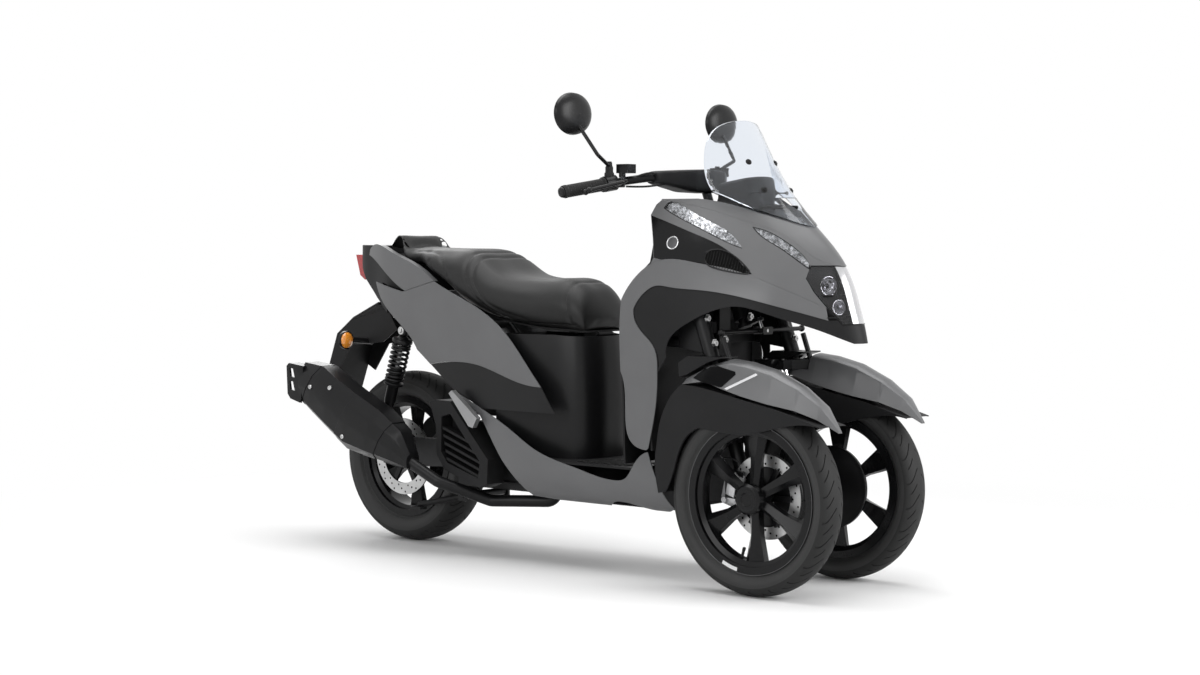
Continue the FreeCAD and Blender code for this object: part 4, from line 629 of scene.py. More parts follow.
def headlight():
    """Twin headlights behind one lens: two cups with their domes and two dark shelves a side."""
    # The lens's middle strip is given a pale colour as a painted highlight.
    bowl = lens_and_bowl("headlight", (0.8, 0.45, 0.3), 0.55, SMOKED, 1.8, 1.8, highlight_half_width=25.5)
    thicken(bowl, 1.2)
    add("headlight_bowl", bowl, "chassis", "lamp", SHADE, angle=30)
    tree = tree_of("headlight")
    for name, side in SIDES:
        cups, domes, shelves = (bmesh.new() for _ in range(3))
        aim = Vector((1.0, side * 0.42, 0.08)).normalized()
        for z, y, size, depth in ((793, 52, 23, 15), (738, 45, 18, 13)):
            found, normal = hit(tree, (900, side * y, z), (-1, 0, 0))
            place = found / MM - normal * depth
            absorb(cups, placed(lamp_cup(size), place, aim))
            absorb(domes, placed(lamp_dome(size), place, aim))
        add(f"headlight_cups_{name}", cups, "chassis", "lamp", REFLECTOR)
        add(f"headlight_domes_{name}", domes, "chassis", "lamp", SMOKED)
        for z, depth in ((765, 22), (709, 26)):
            found, _ = hit(tree, (900, side * 50, z), (-1, 0, 0))
            place = (found.x / MM - depth, side * 50, z)
            absorb(shelves, placed(block(40, 30, 4, 1.2), place, (0, 0, 1), side * 0.7))
        add(f"headlight_shelves_{name}", shelves, "chassis", "lamp", SATIN_BLACK)


def front_lamps():
    """Long clear lamps beside the nose, over a faceted bowl with painted glints in its colour."""
    bowl = lens_and_bowl("front_lamps", (0.5, 0.7, 0.4), 0.45, LENS, 2.1, 1.0)
    thicken(bowl, 0.5)
    add("front_lamps_bowl", bowl, "chassis", "lamp", CRYSTAL_GLINTS, angle=30)


# Badge, stripe, emblem disc, grille and fasteners

BADGE = ((571.5, 552), (581, 562), (617, 587), (628, 588.5), (702, 573), (705, 566), (672, 534), (664, 532.5))
STRIPE = ((680, 530), (688, 526.5), (770, 566), (764, 571))
EMBLEM = (454.5, 899)
GRILLE = ((556, 874), (575, 883), (606, 881), (640, 866), (672, 842), (695, 819), (664, 820), (612, 829), (577, 838),
          (560, 851))


def badges():
    """Plain plate and stripe on each front fender."""
    for name, side in SIDES:
        tree = tree_of(f"fender_{name}", f"fender_side_{name}")
        for kind, outline, thickness, slot, material in (("plate", BADGE, 1.3, "gloss_black", PLATE),
                                                         ("stripe", STRIPE, 1.1, "alloy", SILVER)):
            add(f"fender_{kind}_{name}", sheet_on(tree, outline, thickness, side, cuts=9), f"fork_{name}", slot,
                material, angle=30)


SLATS = range(566, 690, 8)


def laid_run(tree, places, side, lift, radius, sides, cuts):
    """Round rod on a flank through (x, z) places, lifted off it."""
    found = [hit(tree, (x, 0, z), (0, -side, 0))[0] for x, z in places]
    return run([place / MM + Vector((0, side * lift, 0)) for place in found], radius, sides, cuts)


def vents():
    """Emblem disc and grille on each side of the nose."""
    for name, side in SIDES:
        tree = tree_of("vent_covers", "front_panels", "leg_shield")
        ring = lathe([(14.8, 0), (15.2, 2.0), (16.4, 2.6), (17.8, 2.2), (18.4, -1.5), (14.8, -1.5)], 48, closed=True)
        field = lathe([(0, 1.4), (9, 1.3), (15, 0.9), (15, -1), (0, -1)], 48)
        seat = (EMBLEM[0], 0, EMBLEM[1])
        found, normal = hit(tree, seat, (0, -side, 0))
        add(f"emblem_ring_{name}", placed(ring, found / MM, normal), "chassis", "alloy", SILVER)
        add(f"emblem_field_{name}", placed(field, found / MM, normal), "chassis", "gloss_black", DARK_SILVER)
        # The grille's back is a thin sheet on the flank, near black with little gloss: black mesh with the painted
        # shade of a recess.
        add(f"grille_shaded_back_{name}", sheet_on(tree, GRILLE, 0.5, side, cuts=4), "chassis", "black_plastic", MESH,
            angle=30)
        edge = laid_run(tree, GRILLE + GRILLE[:2], side, 0.6, 2.0, 8, 6)
        corners = list(zip(GRILLE, GRILLE[1:] + GRILLE[:1]))
        for x in SLATS:
            low, high = sorted(z + (x - start) / (end - start) * (top - z) for (start, z), (end, top) in corners
                               if min(start, end) <= x < max(start, end))
            absorb(edge, laid_run(tree, [(x, low + share * (high - low)) for share in (0.06, 0.5, 0.94)],
                                  side, 0.7, 0.9, 6, 3))
        add(f"grille_rim_{name}", edge, "chassis", "gloss_black", GLOSS_BLACK, angle=60)


def fasteners():
    """Push pins on the leg shield and screws through the screen, each square on its surface."""
    shield, screen = tree_of("leg_shield", "arch_trim", "floor_sides", "front_wall"), tree_of("windscreen")
    pins, screws, washers = (bmesh.new() for _ in range(3))
    for x, z in ((424.5, 408), (338.5, 364), (413.5, 315), (464.5, 229)):
        for side in (-1, 1):
            found, normal = hit(shield, (x, 0, z), (0, -side, 0))
            if found is not None:
                pin = lathe([(0, 1.8), (2.5, 1.692), (4.25, 1.08), (5, 0.1), (5, -0.6), (0, -0.6)], 20)
                absorb(pins, placed(pin, found / MM, normal))
    add("push_pins", pins, "chassis", "black_plastic", SATIN_BLACK)
    for x, y, z in ((571.5, 60, 1094), (645.5, 60, 1029)):
        for side in (-1, 1):
            found, normal = hit(screen, (x, side * y, z), (-1, 0, -0.35))
            absorb(screws, placed(screw(5.5, 3), found / MM + normal * 1.2, normal))
            washer = lathe([(5, 0), (5, 1.4), (8, 1.2), (8.4, 0.3), (8.4, -1), (5, -1)], 24, closed=True)
            absorb(washers, placed(washer, found / MM, normal))
    add("screen_screws", screws, "chassis", "black_plastic", SATIN_BLACK)
    add("screen_washers", washers, "chassis", "rubber", RUBBER)


# Suspension


def helix(radius, wire, low, high, turns, closed_turns=1.2, steps=26):
    """Wound spring about Z, its end turns laid close."""
    bm = bmesh.new()
    bmesh.ops.create_circle(bm, cap_ends=False, segments=8, radius=wire * MM)
    ring = bm.verts[:]
    total = int((turns + 2 * closed_turns) * steps)
    rise = (high - low - 2 * closed_turns * wire * 2) / (turns * steps)
    bmesh.ops.rotate(bm, verts=ring, cent=(0, 0, 0), matrix=Matrix.Rotation(math.pi / 2, 3, "X"))
    bmesh.ops.translate(bm, verts=ring, vec=(radius * MM, 0, low * MM))
    edges = bm.edges[:]
    for step in range(total):
        inside = closed_turns * steps <= step < total - closed_turns * steps
        climb = rise if inside else 2 * wire / steps
        out = bmesh.ops.extrude_edge_only(bm, edges=edges)
        verts = [part for part in out["geom"] if isinstance(part, bmesh.types.BMVert)]
        edges = [part for part in out["geom"] if isinstance(part, bmesh.types.BMEdge)
                 and all(vert in set(verts) for vert in part.verts)]
        bmesh.ops.rotate(bm, verts=verts, cent=(0, 0, 0), matrix=Matrix.Rotation(math.tau / steps, 3, "Z"))
        bmesh.ops.translate(bm, verts=verts, vec=(0, 0, climb * MM))
    bmesh.ops.holes_fill(bm, edges=[edge for edge in bm.edges if edge.is_boundary], sides=0)
    bmesh.ops.recalc_face_normals(bm, faces=bm.faces)
    return bm


SHOCK_ENDS = Vector((-657.5, 134, 392)), Vector((-582.5, 134, 640))


def shocks():
    """Rear shocks: bodies, wound springs, bright rods and the nuts at their eyes."""
    low, high = SHOCK_ENDS
    reach = (high - low).length
    axis = (high - low) / reach
    dampers, springs, rods = bmesh.new(), bmesh.new(), bmesh.new()
    for side in (-1, 1):
        foot = Vector((low.x, side * low.y, low.z))
        body = lathe([(0, 16), (10, 16), (13, 22), (16, 30), (17.5, 44), (17.5, 84), (19, 88), (28, 90), (29.5, 92),
                      (29.5, 97), (27, 99), (19, 100), (19, 140), (0, 140)], 40)
        absorb(dampers, placed(body, foot, axis))
        cap = lathe([(0, reach - 16), (10, reach - 16), (15, reach - 20), (19, reach - 24), (29, reach - 27),
                     (30.5, reach - 30), (30.5, reach - 36), (27, reach - 39), (16, reach - 39), (0, reach - 39)], 40)
        absorb(dampers, placed(cap, foot, axis))
        absorb(rods, placed(lathe([(0, 139), (7, 139), (7, reach - 38), (0, reach - 38)], 24), foot, axis))
        absorb(springs, placed(helix(24.8, 4.2, 103, reach - 44, 6.5), foot, axis))
        for end in (foot, foot + axis * reach):
            eye = lathe([(6.6, -13), (6.6, 13), (12, 13), (15.5, 11), (16.5, 8), (16.5, -8), (15.5, -11), (12, -13)],
                        36, closed=True)
            absorb(dampers, placed(eye, end, (0, 1, 0)))
            nut = lathe([(0, 22), (5.5, 21.6), (6.6, 20), (6.6, 17), (11.5, 16.6), (12, 15), (12, 13.2), (0, 13.2)],
                        24)
            absorb(rods, placed(nut, end, (0, side, 0)))
    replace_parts(add("shock_bodies", dampers, "chassis", "steel_black", BLACK_METAL), "shocks")
    add("shock_springs", springs, "chassis", "steel_black", SATIN_BLACK, angle=60)
    add("shock_rods", rods, "chassis", "alloy", STEEL)


# Bars


def grip(side):
    """Ribbed sleeve and bar-end weight, with the line that the bar's end follows."""
    start = Vector((287.4, side * 252.5, 1053))
    axis = Vector((-0.304, side * 0.938, -0.165)).normalized()
    profile = [(0, 0), (18.5, 0), (20, 2), (20, 6), (17, 8)]
    for ring in range(17):
        at = 11 + ring * 6.2
        profile += [(16.1, at), (16.9, at + 1.2), (16.9, at + 4.2), (16.1, at + 5.4)]
    profile += [(17.4, 119), (17.6, 124), (16, 126), (0, 126)]
    weight = lathe([(0, 126.5), (11, 126.5), (13.5, 128), (14.5, 131), (14.5, 136), (11.5, 138), (11.5, 140),
                    (14.2, 142), (14.2, 146), (12, 149), (6, 150), (4.2, 148.4), (0, 148.4)], 36)
    return start, axis, placed(lathe(profile, 40), start, axis), placed(weight, start - axis * 12, axis)


def lever(side, start, axis):
    """Brake lever with a ball at its tip, on its perch."""
    tip = start + axis * 96 + Vector((42, 0, -6))
    root = start - axis * 26 + Vector((28, 0, -2))
    blade = run((root, root + Vector((14, side * 20, 0)), root + (tip - root) * 0.5 + Vector((12, 0, 0)), tip),
                5.2, 12, 8)
    ball = lathe([(0, 8), (4.5, 6.8), (7.4, 3.2), (8.2, 0), (7.4, -3.2), (4.5, -6.8), (0, -8)], 24)
    perch = placed(block(34, 24, 20, 3), root + Vector((-12, -side * 4, 0)), (0, 0, 1), -side * 0.3)
    return absorb(blade, placed(ball, tip, axis), perch)


def mirror_parts(side):
    """Oval glass on the back of a mirror's head, and the boot at the foot of its stem."""
    glass = lathe([(0, 0), (50, 0), (55, -0.3), (56.5, -1.2), (0, -1.2)], 56)
    bmesh.ops.scale(glass, vec=(1.24, 0.95, 1), verts=glass.verts)
    bmesh.ops.rotate(glass, cent=(0, 0, 0), matrix=Matrix.Rotation(math.pi / 2, 3, "Z"), verts=glass.verts)
    boot = lathe([(0, -6), (13, -6), (13, 6), (10.5, 9), (10.5, 22), (8.5, 25), (7.6, 34), (6, 37), (0, 37)], 28)
    return placed(glass, (235.2, side * 324, 1238), (-1, 0, 0), math.pi / 2), placed(boot, (292, side * 237.5, 1077))


CABLES = ((3.4, ((318, 190, 1062), (352, 176, 1082), (380, 140, 1084), (396, 100, 1072))),
          (2.8, ((330, 214, 1048), (366, 190, 1046), (392, 150, 1052), (400, 104, 1058))))


def bars():
    """What the handlebar carries at its two ends."""
    grips, ends, levers, cables, glasses, boots = (bmesh.new() for _ in range(6))
    for side in (-1, 1):
        start, axis, sleeve, weight = grip(side)
        absorb(grips, sleeve)
        absorb(ends, weight)
        absorb(levers, lever(side, start, axis))
        for radius, route in CABLES:
            absorb(cables, run([(x, side * y, z) for x, y, z in route], radius, 10, 10))
        glass, boot = mirror_parts(side)
        absorb(glasses, glass)
        absorb(boots, boot)
    for name, shape, slot, material, angle in (
            ("grip_sleeves", grips, "rubber", RUBBER, 50), ("bar_weights", ends, "steel_black", BLACK_METAL, 40),
            ("brake_levers", levers, "steel_black", BLACK_METAL, 40), ("bar_cables", cables, "rubber", RUBBER, 60),
            ("mirror_glasses", glasses, "alloy", MIRROR, 40), ("mirror_boots", boots, "rubber", RUBBER, 40)):
        add(name, shape, "handlebar", slot, material, angle=angle)


# Seat


CLOTH_FRAMES = 20


def settle(piece, pressure, cap, start_shrink):
    """Blows the cover up a little with cloth, holds each point near where it was, and keeps the result."""
    mesh = piece.data
    rest = [vert.co.copy() for vert in mesh.vertices]
    for vert in mesh.vertices:
        vert.co -= vert.normal * start_shrink
    scene = bpy.context.scene
    cloth = piece.modifiers.new("cover", "CLOTH")
    settings = cloth.settings
    settings.use_pressure = True
    settings.uniform_pressure_force = pressure
    settings.effector_weights.gravity = 0.0
    settings.tension_stiffness = settings.compression_stiffness = 20
    settings.bending_stiffness = 2
    settings.quality = 4
    cloth.collision_settings.use_collision = False
    cloth.point_cache.frame_start = 1
    cloth.point_cache.frame_end = CLOTH_FRAMES
    for frame_number in range(1, CLOTH_FRAMES + 1):
        scene.frame_set(frame_number)
    result = piece.evaluated_get(bpy.context.evaluated_depsgraph_get())
    moved = [vert.co.copy() for vert in result.to_mesh().vertices]
    result.to_mesh_clear()
    piece.modifiers.remove(cloth)
    for vert, home, place in zip(mesh.vertices, rest, moved):
        step = place - home
        if step.length > cap:
            step *= cap / step.length
        vert.co = home + step
    scene.frame_set(1)


def seam_points(tree, places, side):
    """Points of a seam laid on the cover; each place is seen from the side or from above."""
    found = [hit(tree, (x, side * y, z), (0, -side, 0) if view == "side" else (0, 0, -1))[0]
             for x, y, z, view in places]
    return [place for place in found if place is not None]


BOLSTER = ((-333, 0, 0, "top"), (-333, 60, 0, "top"), (-338, 100, 0, "top"), (-337, 0, 852, "side"),
           (-333, 0, 830, "side"), (-315, 0, 785, "side"), (-272, 0, 737, "side"), (-215, 0, 700, "side"),
           (-150, 0, 676, "side"))
BOLSTER_FRONT = ((-300, 0, 0, "top"), (-302, 60, 0, "top"), (-306, 96, 0, "top"), (-306, 0, 838, "side"),
                 (-303, 0, 818, "side"), (-288, 0, 780, "side"), (-250, 0, 738, "side"), (-196, 0, 706, "side"),
                 (-120, 0, 684, "side"))
PASSENGER = ((-650, 84, 0, "top"), (-560, 92, 0, "top"), (-480, 98, 0, "top"), (-425, 0, 848, "side"),
             (-400, 0, 800, "side"), (-385, 0, 752, "side"))
NOSE = ((22, 0, 0, "top"), (22, 50, 0, "top"), (24, 84, 0, "top"), (24, 0, 745, "side"), (32, 0, 706, "side"),
        (38, 0, 670, "side"))
HEM = ((-480, 0, 845, "side"), (-400, 0, 765, "side"), (-330, 0, 722, "side"), (-250, 0, 696, "side"),
       (-140, 0, 676, "side"), (-20, 0, 668, "side"), (50, 0, 667, "side"))


STITCH = 0.004
SEAM_WIDTH, SEAM_DEPTH = 0.013, 0.0042


def remesh(piece, voxel):
    """Gives a piece an even mesh of small faces, their size in millimetres."""
    even = piece.modifiers.new("even", "REMESH")
    even.mode = "VOXEL"
    even.voxel_size = voxel * MM
    mesh = evaluated_mesh(piece)
    piece.modifiers.remove(even)
    swap_mesh(piece, mesh)


def store(bm, piece, material):
    """Puts a reworked shape back into its piece."""
    bm.to_mesh(piece.data)
    bm.free()
    piece.data.materials.clear()
    piece.data.materials.append(material)


def seat():
    """Cover over foam: the cushion is swelled with cloth, then its seams are pressed in and stitched."""
    piece = new_object("seat_cover", merged("seat_pad"), "seat", "seat_cover", SEAT)
    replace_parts(piece, "seat_pad")
    remesh(piece, 5.5)
    settle(piece, 3.0, 0.006, 0.003)
    bm = bmesh_of(piece.data)
    for _ in range(6):
        smooth_all(bm, bm.verts)
    tree = BVHTree.FromBMesh(bm)
    threads = bmesh.new()
    lines = [seam_points(tree, places, side) for side in (-1, 1)
             for places in (BOLSTER, BOLSTER_FRONT, PASSENGER, NOSE, HEM)]
    seams = kdtree.KDTree(sum(len(line) for line in lines) * 40)
    for line in lines:
        laid = [tree.find_nearest(point)[:2] for point in centre_line(line, 14)]
        for found, _ in laid:
            seams.insert(found, 0)
        stitch(threads, laid)
    seams.balance()
    for vert in bm.verts:
        distance = seams.find(vert.co)[2]
        if distance is not None and distance < SEAM_WIDTH:
            vert.co -= vert.normal * SEAM_DEPTH * (1 - distance / SEAM_WIDTH) ** 1.6
    for face in bm.faces:
        face.smooth = True
    store(bm, piece, SEAT)
    smooth = piece.modifiers.new("soft", "SUBSURF")
    smooth.levels = smooth.render_levels = 1
    new_object("seat_stitches", threads, "seat", "seat_cover", THREAD)


def centre_line(points, cuts):
    """Evenly spaced points on a smooth line through the given ones."""
    mesh = curve_mesh(smooth_line(points, cuts))
    line = [vert.co.copy() for vert in mesh.vertices]
    bpy.data.meshes.remove(mesh)
    even = [line[0]]
    for point in line[1:]:
        while (point - even[-1]).length > STITCH:
            even.append(even[-1] + (point - even[-1]).normalized() * STITCH)
    return even


THREAD_RADIUS, THREAD_SINK = 0.0005, 0.0032


def stitch(bm, laid):
    """Row of short thread stitches, sunk at both ends, along points on the cover."""
    for (start, normal), (end, _) in zip(laid, laid[1:]):
        middle = (start + end) / 2
        along = end - start
        if along.length < 0.001:
            continue
        bead = bmesh.new()
        bmesh.ops.create_cone(bead, cap_ends=True, segments=5, radius1=THREAD_RADIUS, radius2=THREAD_RADIUS,
                              depth=along.length * 0.72)
        turn = along.to_track_quat("Z", "Y").to_matrix().to_4x4()
        bmesh.ops.transform(bead, matrix=Matrix.Translation(middle - normal * THREAD_SINK) @ turn, verts=bead.verts)
        absorb(bm, bead)


# Wheels and brakes

VALVE_ANGLE = math.radians(-107)


def front_hub(side):
    return FRONT_AXLE + Vector((0, side * HALF_TRACK, 0))


def around(angle, radius):
    """Place in the plane of a wheel, in millimetres from its centre."""
    return Vector((math.cos(angle) * radius, 0, math.sin(angle) * radius))


def wheel_details():
    """Hub cap, rim edges in a paler metal as a painted highlight, valve, label, caliper and disc cover of each front
    wheel.
    """
    for name, side in SIDES:
        wheel, fork = f"wheel_front_{name}", f"fork_{name}"
        centre = front_hub(side)
        out = Vector((0, side, 0))
        cap = lathe([(0, 40.5), (17, 40.5), (18.5, 41.2), (20, 43.6), (29, 44.4), (33, 43.2), (35, 40), (35, 36),
                     (0, 36)], 56)
        add(f"hub_cap_{name}", placed(cap, centre, out), wheel, "wheel_paint", WHEEL_BLACK, angle=30)
        # Rounded lips on the rim's edges, in a paler metal than the wheel: a painted highlight.
        highlight_lips = lathe([(191.6, 30.4), (192.2, 32.0), (193.6, 32.4), (194.2, 31.4), (193.4, 30.2)], 160, closed=True)
        absorb(highlight_lips, lathe([(176.5, 29.2), (177.2, 30.2), (178.4, 30.1), (178.6, 28.8)], 160, closed=True))
        add(f"rim_highlight_rings_{name}", placed(highlight_lips, centre, out), wheel, "wheel_paint", RIM_HIGHLIGHT, angle=50)
        valve = lathe([(0, 0), (5.5, 0), (5.2, 9), (4, 12), (3.6, 25), (4.4, 26), (4.4, 34), (3.4, 35.5), (0, 35.5)],
                      20)
        foot = centre + around(VALVE_ANGLE, 171) - out * 4
        add(f"valve_{name}", placed(valve, foot, -around(VALVE_ANGLE, 1)), wheel, "rubber", RUBBER)
        new_object(f"rim_label_{name}", rim_label(centre, side), wheel, "alloy", LABEL)
        calipers(name, side)
        cover = lathe([(28, 0), (106, 0), (110, 1.5), (111, 4), (110, 5), (98, 6.2), (92, 8.5), (40, 9.5), (28, 9.5)],
                      96, closed=True)
        add(f"disc_cover_{name}", placed(cover, FRONT_AXLE + out * 146.6, -out), fork, "black_plastic", SATIN_BLACK,
            angle=30)


def rim_label(centre, side):
    """Blank white label on the rim, bent to it."""
    bm = bmesh.new()
    bmesh.ops.create_grid(bm, x_segments=14, y_segments=1, size=1)
    for vert in bm.verts:
        place = around(math.radians(-109 + 7.5 * vert.co.x), 185.5 + 4.6 * vert.co.y)
        vert.co = (centre + place + Vector((0, side * 31.8, 0))) * MM
    bmesh.ops.recalc_face_normals(bm, faces=bm.faces)
    if bm.faces[0].normal.y * side < 0:
        bmesh.ops.reverse_faces(bm, faces=bm.faces)
    bmesh.ops.solidify(bm, geom=bm.faces[:], thickness=0.4 * MM)
    return bm


def calipers(name, side):
    """Silver caliper over the rear of the disc, with its bolts, and the wire guard beside it."""
    shape = slab([(-34, -22), (-30, -40), (12, -46), (30, -34), (34, -6), (26, 14), (34, 34), (22, 44), (-8, 40),
                  (-30, 26)], 11, 2.4)
    absorb(shape, placed(slab([(-14, -16), (14, -16), (16, 14), (-12, 18)], 8, 2), (0, 0, 11)))
    for place in ((-20, -30), (20, -28), (22, 28)):
        bolt = lathe([(0, 5), (4, 5), (4.6, 7), (7.4, 7), (8, 5.6), (8, -1), (0, -1)], 20)
        absorb(shape, placed(bolt, (*place, 11)))
    placed(shape, FRONT_AXLE + Vector((-96, side * 153.6, 12)), (0, side, 0), math.radians(-8))
    add(f"caliper_{name}", shape, f"fork_{name}", "alloy", CASTING, angle=35)
    route = ((-128, 158, 50), (-150, 164, 46), (-148, 164, 90), (-96, 162, 96), (-74, 158, 80))
    guard = run([FRONT_AXLE + Vector((x, side * y, z)) for x, y, z in route], 1.8, 8, 10)
    add(f"hose_guard_{name}", guard, f"fork_{name}", "steel_black", BLACK_METAL, angle=60)


# Tail


LAMP_Z = 606


def indicators():
    """Rear indicators: amber lenses in black rims on black stalks."""
    for name, side in SIDES:
        rim = lathe([(25.2, -5.5), (27.4, -4.5), (27.8, 0), (27.4, 4.5), (25.2, 5.5), (24.4, 0)], 48, closed=True)
        lens = lathe([(0, 15), (8, 14.6), (15, 12.6), (20.5, 9.2), (24, 5.2), (25, 0), (24, -5.2), (20.5, -9.2),
                      (15, -12.6), (8, -14.6), (0, -15)], 48)
        stalk = run([(-798, side * 60, 598), (-798, side * 100, 603), (-798, side * 145, LAMP_Z)], 9, 16, 10)
        place = (-798.5, side * 168, LAMP_Z)
        absorb(stalk, placed(rim, place, (1, 0, 0)))
        holder = add(f"indicator_stalk_{name}", stalk, "chassis", "black_plastic", SATIN_BLACK)
        add(f"indicator_lens_{name}", placed(lens, place, (1, 0, 0)), "chassis", "amber_lens", AMBER)
        if side < 0:
            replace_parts(holder, "rear_indicators")


# Moulded pieces with eased corners


WHOLE = ((-9000, -9000, -9000), (9000, 9000, 9000))
FIRST_ROUNDS = 6


def eased(node, material, voxel, rounds, zone=WHOLE):
    """Copy of a moulded piece with its corners rounded over, the later rounds only between two corners of a box."""
    piece = new_object(node + "_moulded", merged(node), BODY_OF[node], record_slot(node), material)
    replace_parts(piece, node)
    remesh(piece, voxel)
    bm = bmesh_of(piece.data)
    low, high = zone
    inside = [vert for vert in bm.verts if all(low[i] <= vert.co[i] / MM <= high[i] for i in range(3))]
    for count in range(rounds):
        smooth_all(bm, bm.verts if count < FIRST_ROUNDS else inside)
    soften(bm, 60)
    store(bm, piece, material)


# Silencer


def overlay(node, name, sections, lift, material, slot):
    """Cover panel: the part of a piece between cutting planes, raised off it."""
    bm = merged(node)
    for place, normal in sections:
        geometry = bm.verts[:] + bm.edges[:] + bm.faces[:]
        bmesh.ops.bisect_plane(bm, geom=geometry, plane_co=Vector(place) * MM, plane_no=Vector(normal),
                               clear_outer=True)
    bm.normal_update()
    moves = [(vert, vert.normal.copy()) for vert in bm.verts]
    for vert, normal in moves:
        vert.co += normal * lift * MM
    thicken(bm, lift + 0.4)
    add(name, bm, BODY_OF[node], slot, material, angle=35)


def silencer():
    """End cap, guard and bolts on the silencer."""
    along = Vector((0.82, 0, -0.57))
    overlay("exhaust", "silencer_tail_cap", [((-845, 0, 470), along)], 1.4, SATIN_BLACK, "steel_black")
    overlay("exhaust", "silencer_guard", [((-700, 0, 380), -along), ((-560, 0, 300), along),
                                          ((0, -180, 0), (0, 1, 0))], 1.8, SATIN_BLACK, "steel_black")
    tree = tree_of("exhaust")
    bolts = bmesh.new()
    for x, z in ((-826, 470), (-690, 330), (-745, 470)):
        found, normal = hit(tree, (x, 0, z), (0, 1, 0))
        if found is not None:
            absorb(bolts, placed(screw(7, 4), found / MM + normal * 1.2, normal))
    add("silencer_bolts", bolts, "chassis", "alloy", STEEL)


# Small parts


PIVOT_X, PIVOT_HEIGHTS = 600, (704, 640)
PIVOT_BOLT = [(0, 5.4), (3.2, 5.4), (3.6, 7), (7.6, 7), (8.6, 6), (8.6, 1.6), (12, 1.4), (12, -0.5), (0, -0.5)]


def pivot_bolts():
    """Bright bolt heads on the pivots of the tilting arms, each on the body it is screwed into."""
    for name, nodes, y in (("frame", ("main_frame", "upper_arm", "lower_arm"), 0),
                           ("right", ("holder_right",), -180), ("left", ("holder_left",), 180)):
        heads = bmesh.new()
        pivots = tree_of(*nodes)
        for z in PIVOT_HEIGHTS:
            found, _ = hit(pivots, (PIVOT_X, y, z), (-1, 0, 0))
            if found is not None:
                absorb(heads, placed(lathe(PIVOT_BOLT, 6), found / MM, (1, 0, 0)))
        if not heads.faces:
            raise SystemExit(f"no pivot found for {name}")
        add(f"pivot_bolts_{name}", heads, BODY_OF[nodes[0]], "alloy", STEEL, angle=30)


RIM_Z = 649


def tub_seal():
    """Rubber seal on the rim of the tub, under the seat pan."""
    ring = bmesh.new()
    for start, end in (((66, -110), (66, 110)), ((66, 110), (-214, 110)), ((66, -110), (-214, -110))):
        absorb(ring, run([(*start, RIM_Z), (*end, RIM_Z)], 4.2, 12, 1))
    add("tub_seal", ring, "chassis", "rubber", RUBBER, angle=60)


def floor_mat():
    """Raised ribs on the footboard, in two feet widths."""
    ribs = bmesh.new()
    board = tree_of("footboard")
    for side in (-1, 1):
        for count in range(9):
            x = 130 + count * 21
            found, _ = hit(board, (x, side * 110, 320), (0, 0, -1))
            if found is not None:
                place = (x, side * 112, found.z / MM + 1)
                absorb(ribs, placed(block(9, 116, 3.4, 1.2), place, (0, 0, 1), side * 0.12))
    add("floor_ribs", ribs, "chassis", "rubber", RUBBER)


CHROME_TOP = 0.551


def bright_legs():
    """The chrome tubes below the front brackets."""
    for name, _ in SIDES:
        piece = bpy.data.objects[f"knuckle_{name}_skin"]
        piece.data.materials.append(CHROME)
        for face in piece.data.polygons:
            if face.center.z < CHROME_TOP:
                face.material_index = 1


def hoses():
    """Brake hoses and the wiring along the tilting front, each held at both ends on one body."""
    lines = bmesh.new()
    for side in (-1, 1):
        absorb(lines, run([(560, side * 30, 762), (572, side * 50, 748), (566, side * 78, 742), (540, side * 96, 746),
                           (516, side * 90, 762)], 3.6, 10, 10))
    add("front_hoses", lines, "chassis", "rubber", RUBBER, angle=60)
    for name, side in SIDES:
        hose = run([(588, side * 112, 560), (596, side * 104, 500), (624, side * 102, 430), (656, side * 108, 360),
                    (676, side * 122, 300)], 3.4, 10, 10)
        add(f"brake_hose_{name}", hose, f"fork_{name}", "rubber", RUBBER, angle=60)


def fillers():
    """Air box over the engine and the spine under the footboard, both dark and half hidden."""
    for name, size, place, rim in (("air_box", (180, 100, 98), (-330, 30, 441), 12),
                                   ("floor_spine", (330, 6, 56), (170, 0, 262), 1.5)):
        add(name, placed(block(*size, rim), place), "chassis", "black_plastic", BLACK)


tyres()
discs()
headlight()
front_lamps()
badges()
vents()
fasteners()
shocks()
bars()
seat()
wheel_details()
indicators()
silencer()
eased("dash", BLACK, 3, 70, ((505, -90, 992), (655, 90, 1100)))
eased("bar_cover", BLACK, 3, 26)
pivot_bolts()
tub_seal()
floor_mat()
bright_legs()
hoses()
fillers()


# Studio


def seen_ray(nodes, links):
    """One for the rays of the camera, of glass and of gloss."""
    rays = nodes.new("ShaderNodeLightPath").outputs
    either = rays["Is Camera Ray"]
    for kind in ("Is Transmission Ray", "Is Glossy Ray"):
        step = nodes.new("ShaderNodeMath")
        step.operation = "MAXIMUM"
        links.new(either, step.inputs[0])
        links.new(rays[kind], step.inputs[1])
        either = step.outputs["Value"]
    return either


def blended(tree, share, first, second, output):
    """Leads a blend of two shaders to the output."""
    blend = tree.nodes.new("ShaderNodeMixShader")
    tree.links.new(share, blend.inputs["Fac"])
    tree.links.new(first, blend.inputs[1])
    tree.links.new(second, blend.inputs[2])
    tree.links.new(blend.outputs["Shader"], tree.nodes[output].inputs["Surface"])


WHITE = (1, 1, 1, 1)


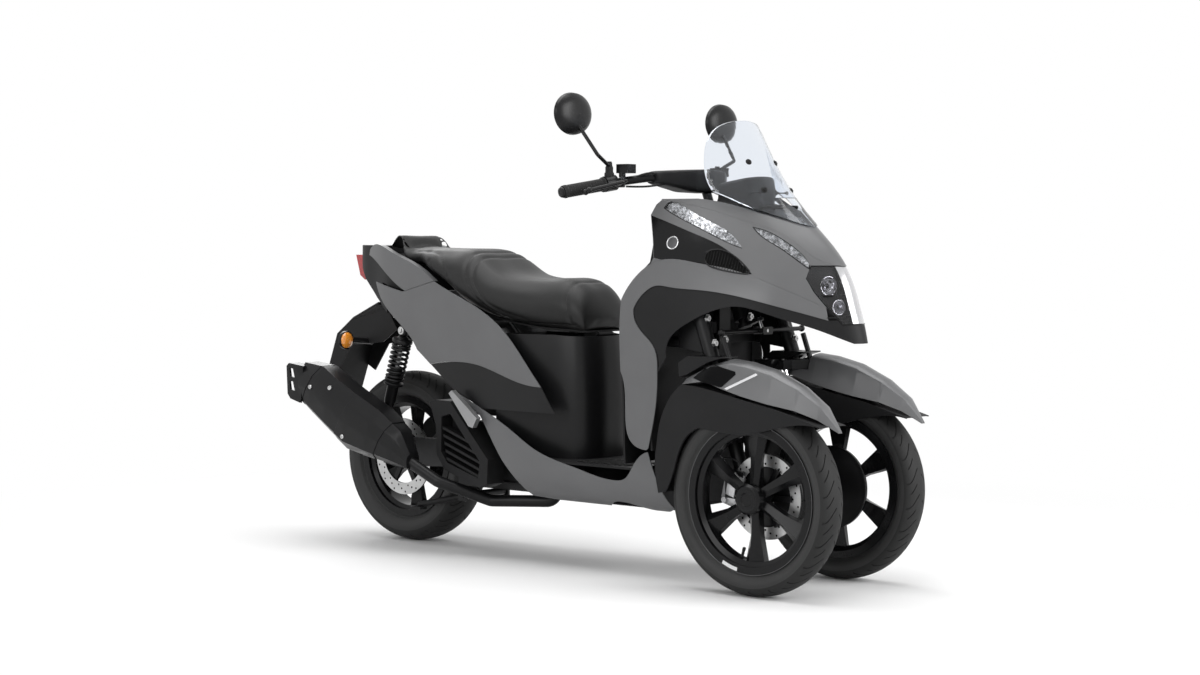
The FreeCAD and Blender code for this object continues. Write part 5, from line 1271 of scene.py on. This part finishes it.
def floor():
    """Pale floor that takes the shadow and fades to white away from the object."""
    grid = bmesh.new()
    bmesh.ops.create_grid(grid, x_segments=1, y_segments=1, size=40)
    mesh = bpy.data.meshes.new("floor")
    grid.to_mesh(mesh)
    grid.free()
    material, nodes, links, shader = node_material("pale_floor")
    set_values(shader, {"Base Color": (0.86, 0.86, 0.86, 1), "Roughness": 0.9})
    plain = valued(nodes, "ShaderNodeEmission", Color=WHITE)
    coords = nodes.new("ShaderNodeTexCoord")
    distance = nodes.new("ShaderNodeVectorMath")
    distance.operation = "LENGTH"
    fade = nodes.new("ShaderNodeMapRange")
    fade.interpolation_type = "SMOOTHSTEP"
    set_values(fade, {"From Min": 0.9, "From Max": 2.6})
    share = nodes.new("ShaderNodeMath")
    share.operation = "MULTIPLY"
    links.new(coords.outputs["Object"], distance.inputs[0])
    links.new(distance.outputs["Value"], fade.inputs["Value"])
    links.new(fade.outputs["Result"], share.inputs[0])
    links.new(seen_ray(nodes, links), share.inputs[1])
    blended(material.node_tree, share.outputs["Value"], shader.outputs["BSDF"], plain.outputs["Emission"],
            "Material Output")
    mesh.materials.append(material)
    link(mesh)


def studio():
    """White surround for what is seen straight or in gloss, and a softer one for light."""
    world = bpy.data.worlds.new("studio")
    bpy.context.scene.world = world
    world.use_nodes = True
    nodes = world.node_tree.nodes
    light = nodes["Background"]
    set_values(light, {"Color": WHITE, "Strength": 0.45})
    seen = valued(nodes, "ShaderNodeBackground", Color=WHITE, Strength=1.0)
    blended(world.node_tree, seen_ray(nodes, world.node_tree.links), light.outputs["Background"],
            seen.outputs["Background"], "World Output")


def lamp(name, place, aim, size, power):
    data = bpy.data.lights.new(name, "AREA")
    data.shape = "RECTANGLE"
    data.size, data.size_y = size
    data.energy = power
    light = link(data)
    light.location = place
    light.rotation_euler = (Vector(aim) - Vector(place)).to_track_quat("-Z", "Y").to_euler()


def lamps():
    lamp("overhead", (0.0, -0.2, 3.6), (0, 0, 0.4), (3.6, 2.6), 90)
    lamp("front_bank", (4.2, 1.2, 2.0), (0.2, 0, 0.7), (2.2, 2.6), 120)
    lamp("side_bank", (0.6, -4.6, 2.3), (0, 0, 0.6), (3.2, 2.0), 60)
    lamp("rear_bank", (-3.6, 1.6, 2.4), (-0.3, 0, 0.6), (2.2, 2.2), 50)


CAMERA_TARGET = Vector((0.05941, 0.0, 0.63314))
CAMERA_DISTANCE = 6.05031
CAMERA_AZIMUTH = math.radians(40.2)
CAMERA_ELEVATION = math.radians(2.57)
CAMERA_LENS, CAMERA_SENSOR = 64.63, 36


def camera():
    back = Vector((math.sin(CAMERA_AZIMUTH) * math.cos(CAMERA_ELEVATION),
                   -math.cos(CAMERA_AZIMUTH) * math.cos(CAMERA_ELEVATION), math.sin(CAMERA_ELEVATION)))
    data = bpy.data.cameras.new("camera")
    data.lens = CAMERA_LENS
    data.sensor_width = CAMERA_SENSOR
    view = link(data)
    view.location = CAMERA_TARGET + back * CAMERA_DISTANCE
    view.rotation_mode = "QUATERNION"
    view.rotation_quaternion = (-back).to_track_quat("-Z", "Y")
    bpy.context.scene.camera = view


floor()
studio()
lamps()
camera()
bpy.context.scene.view_settings.view_transform = "Standard"
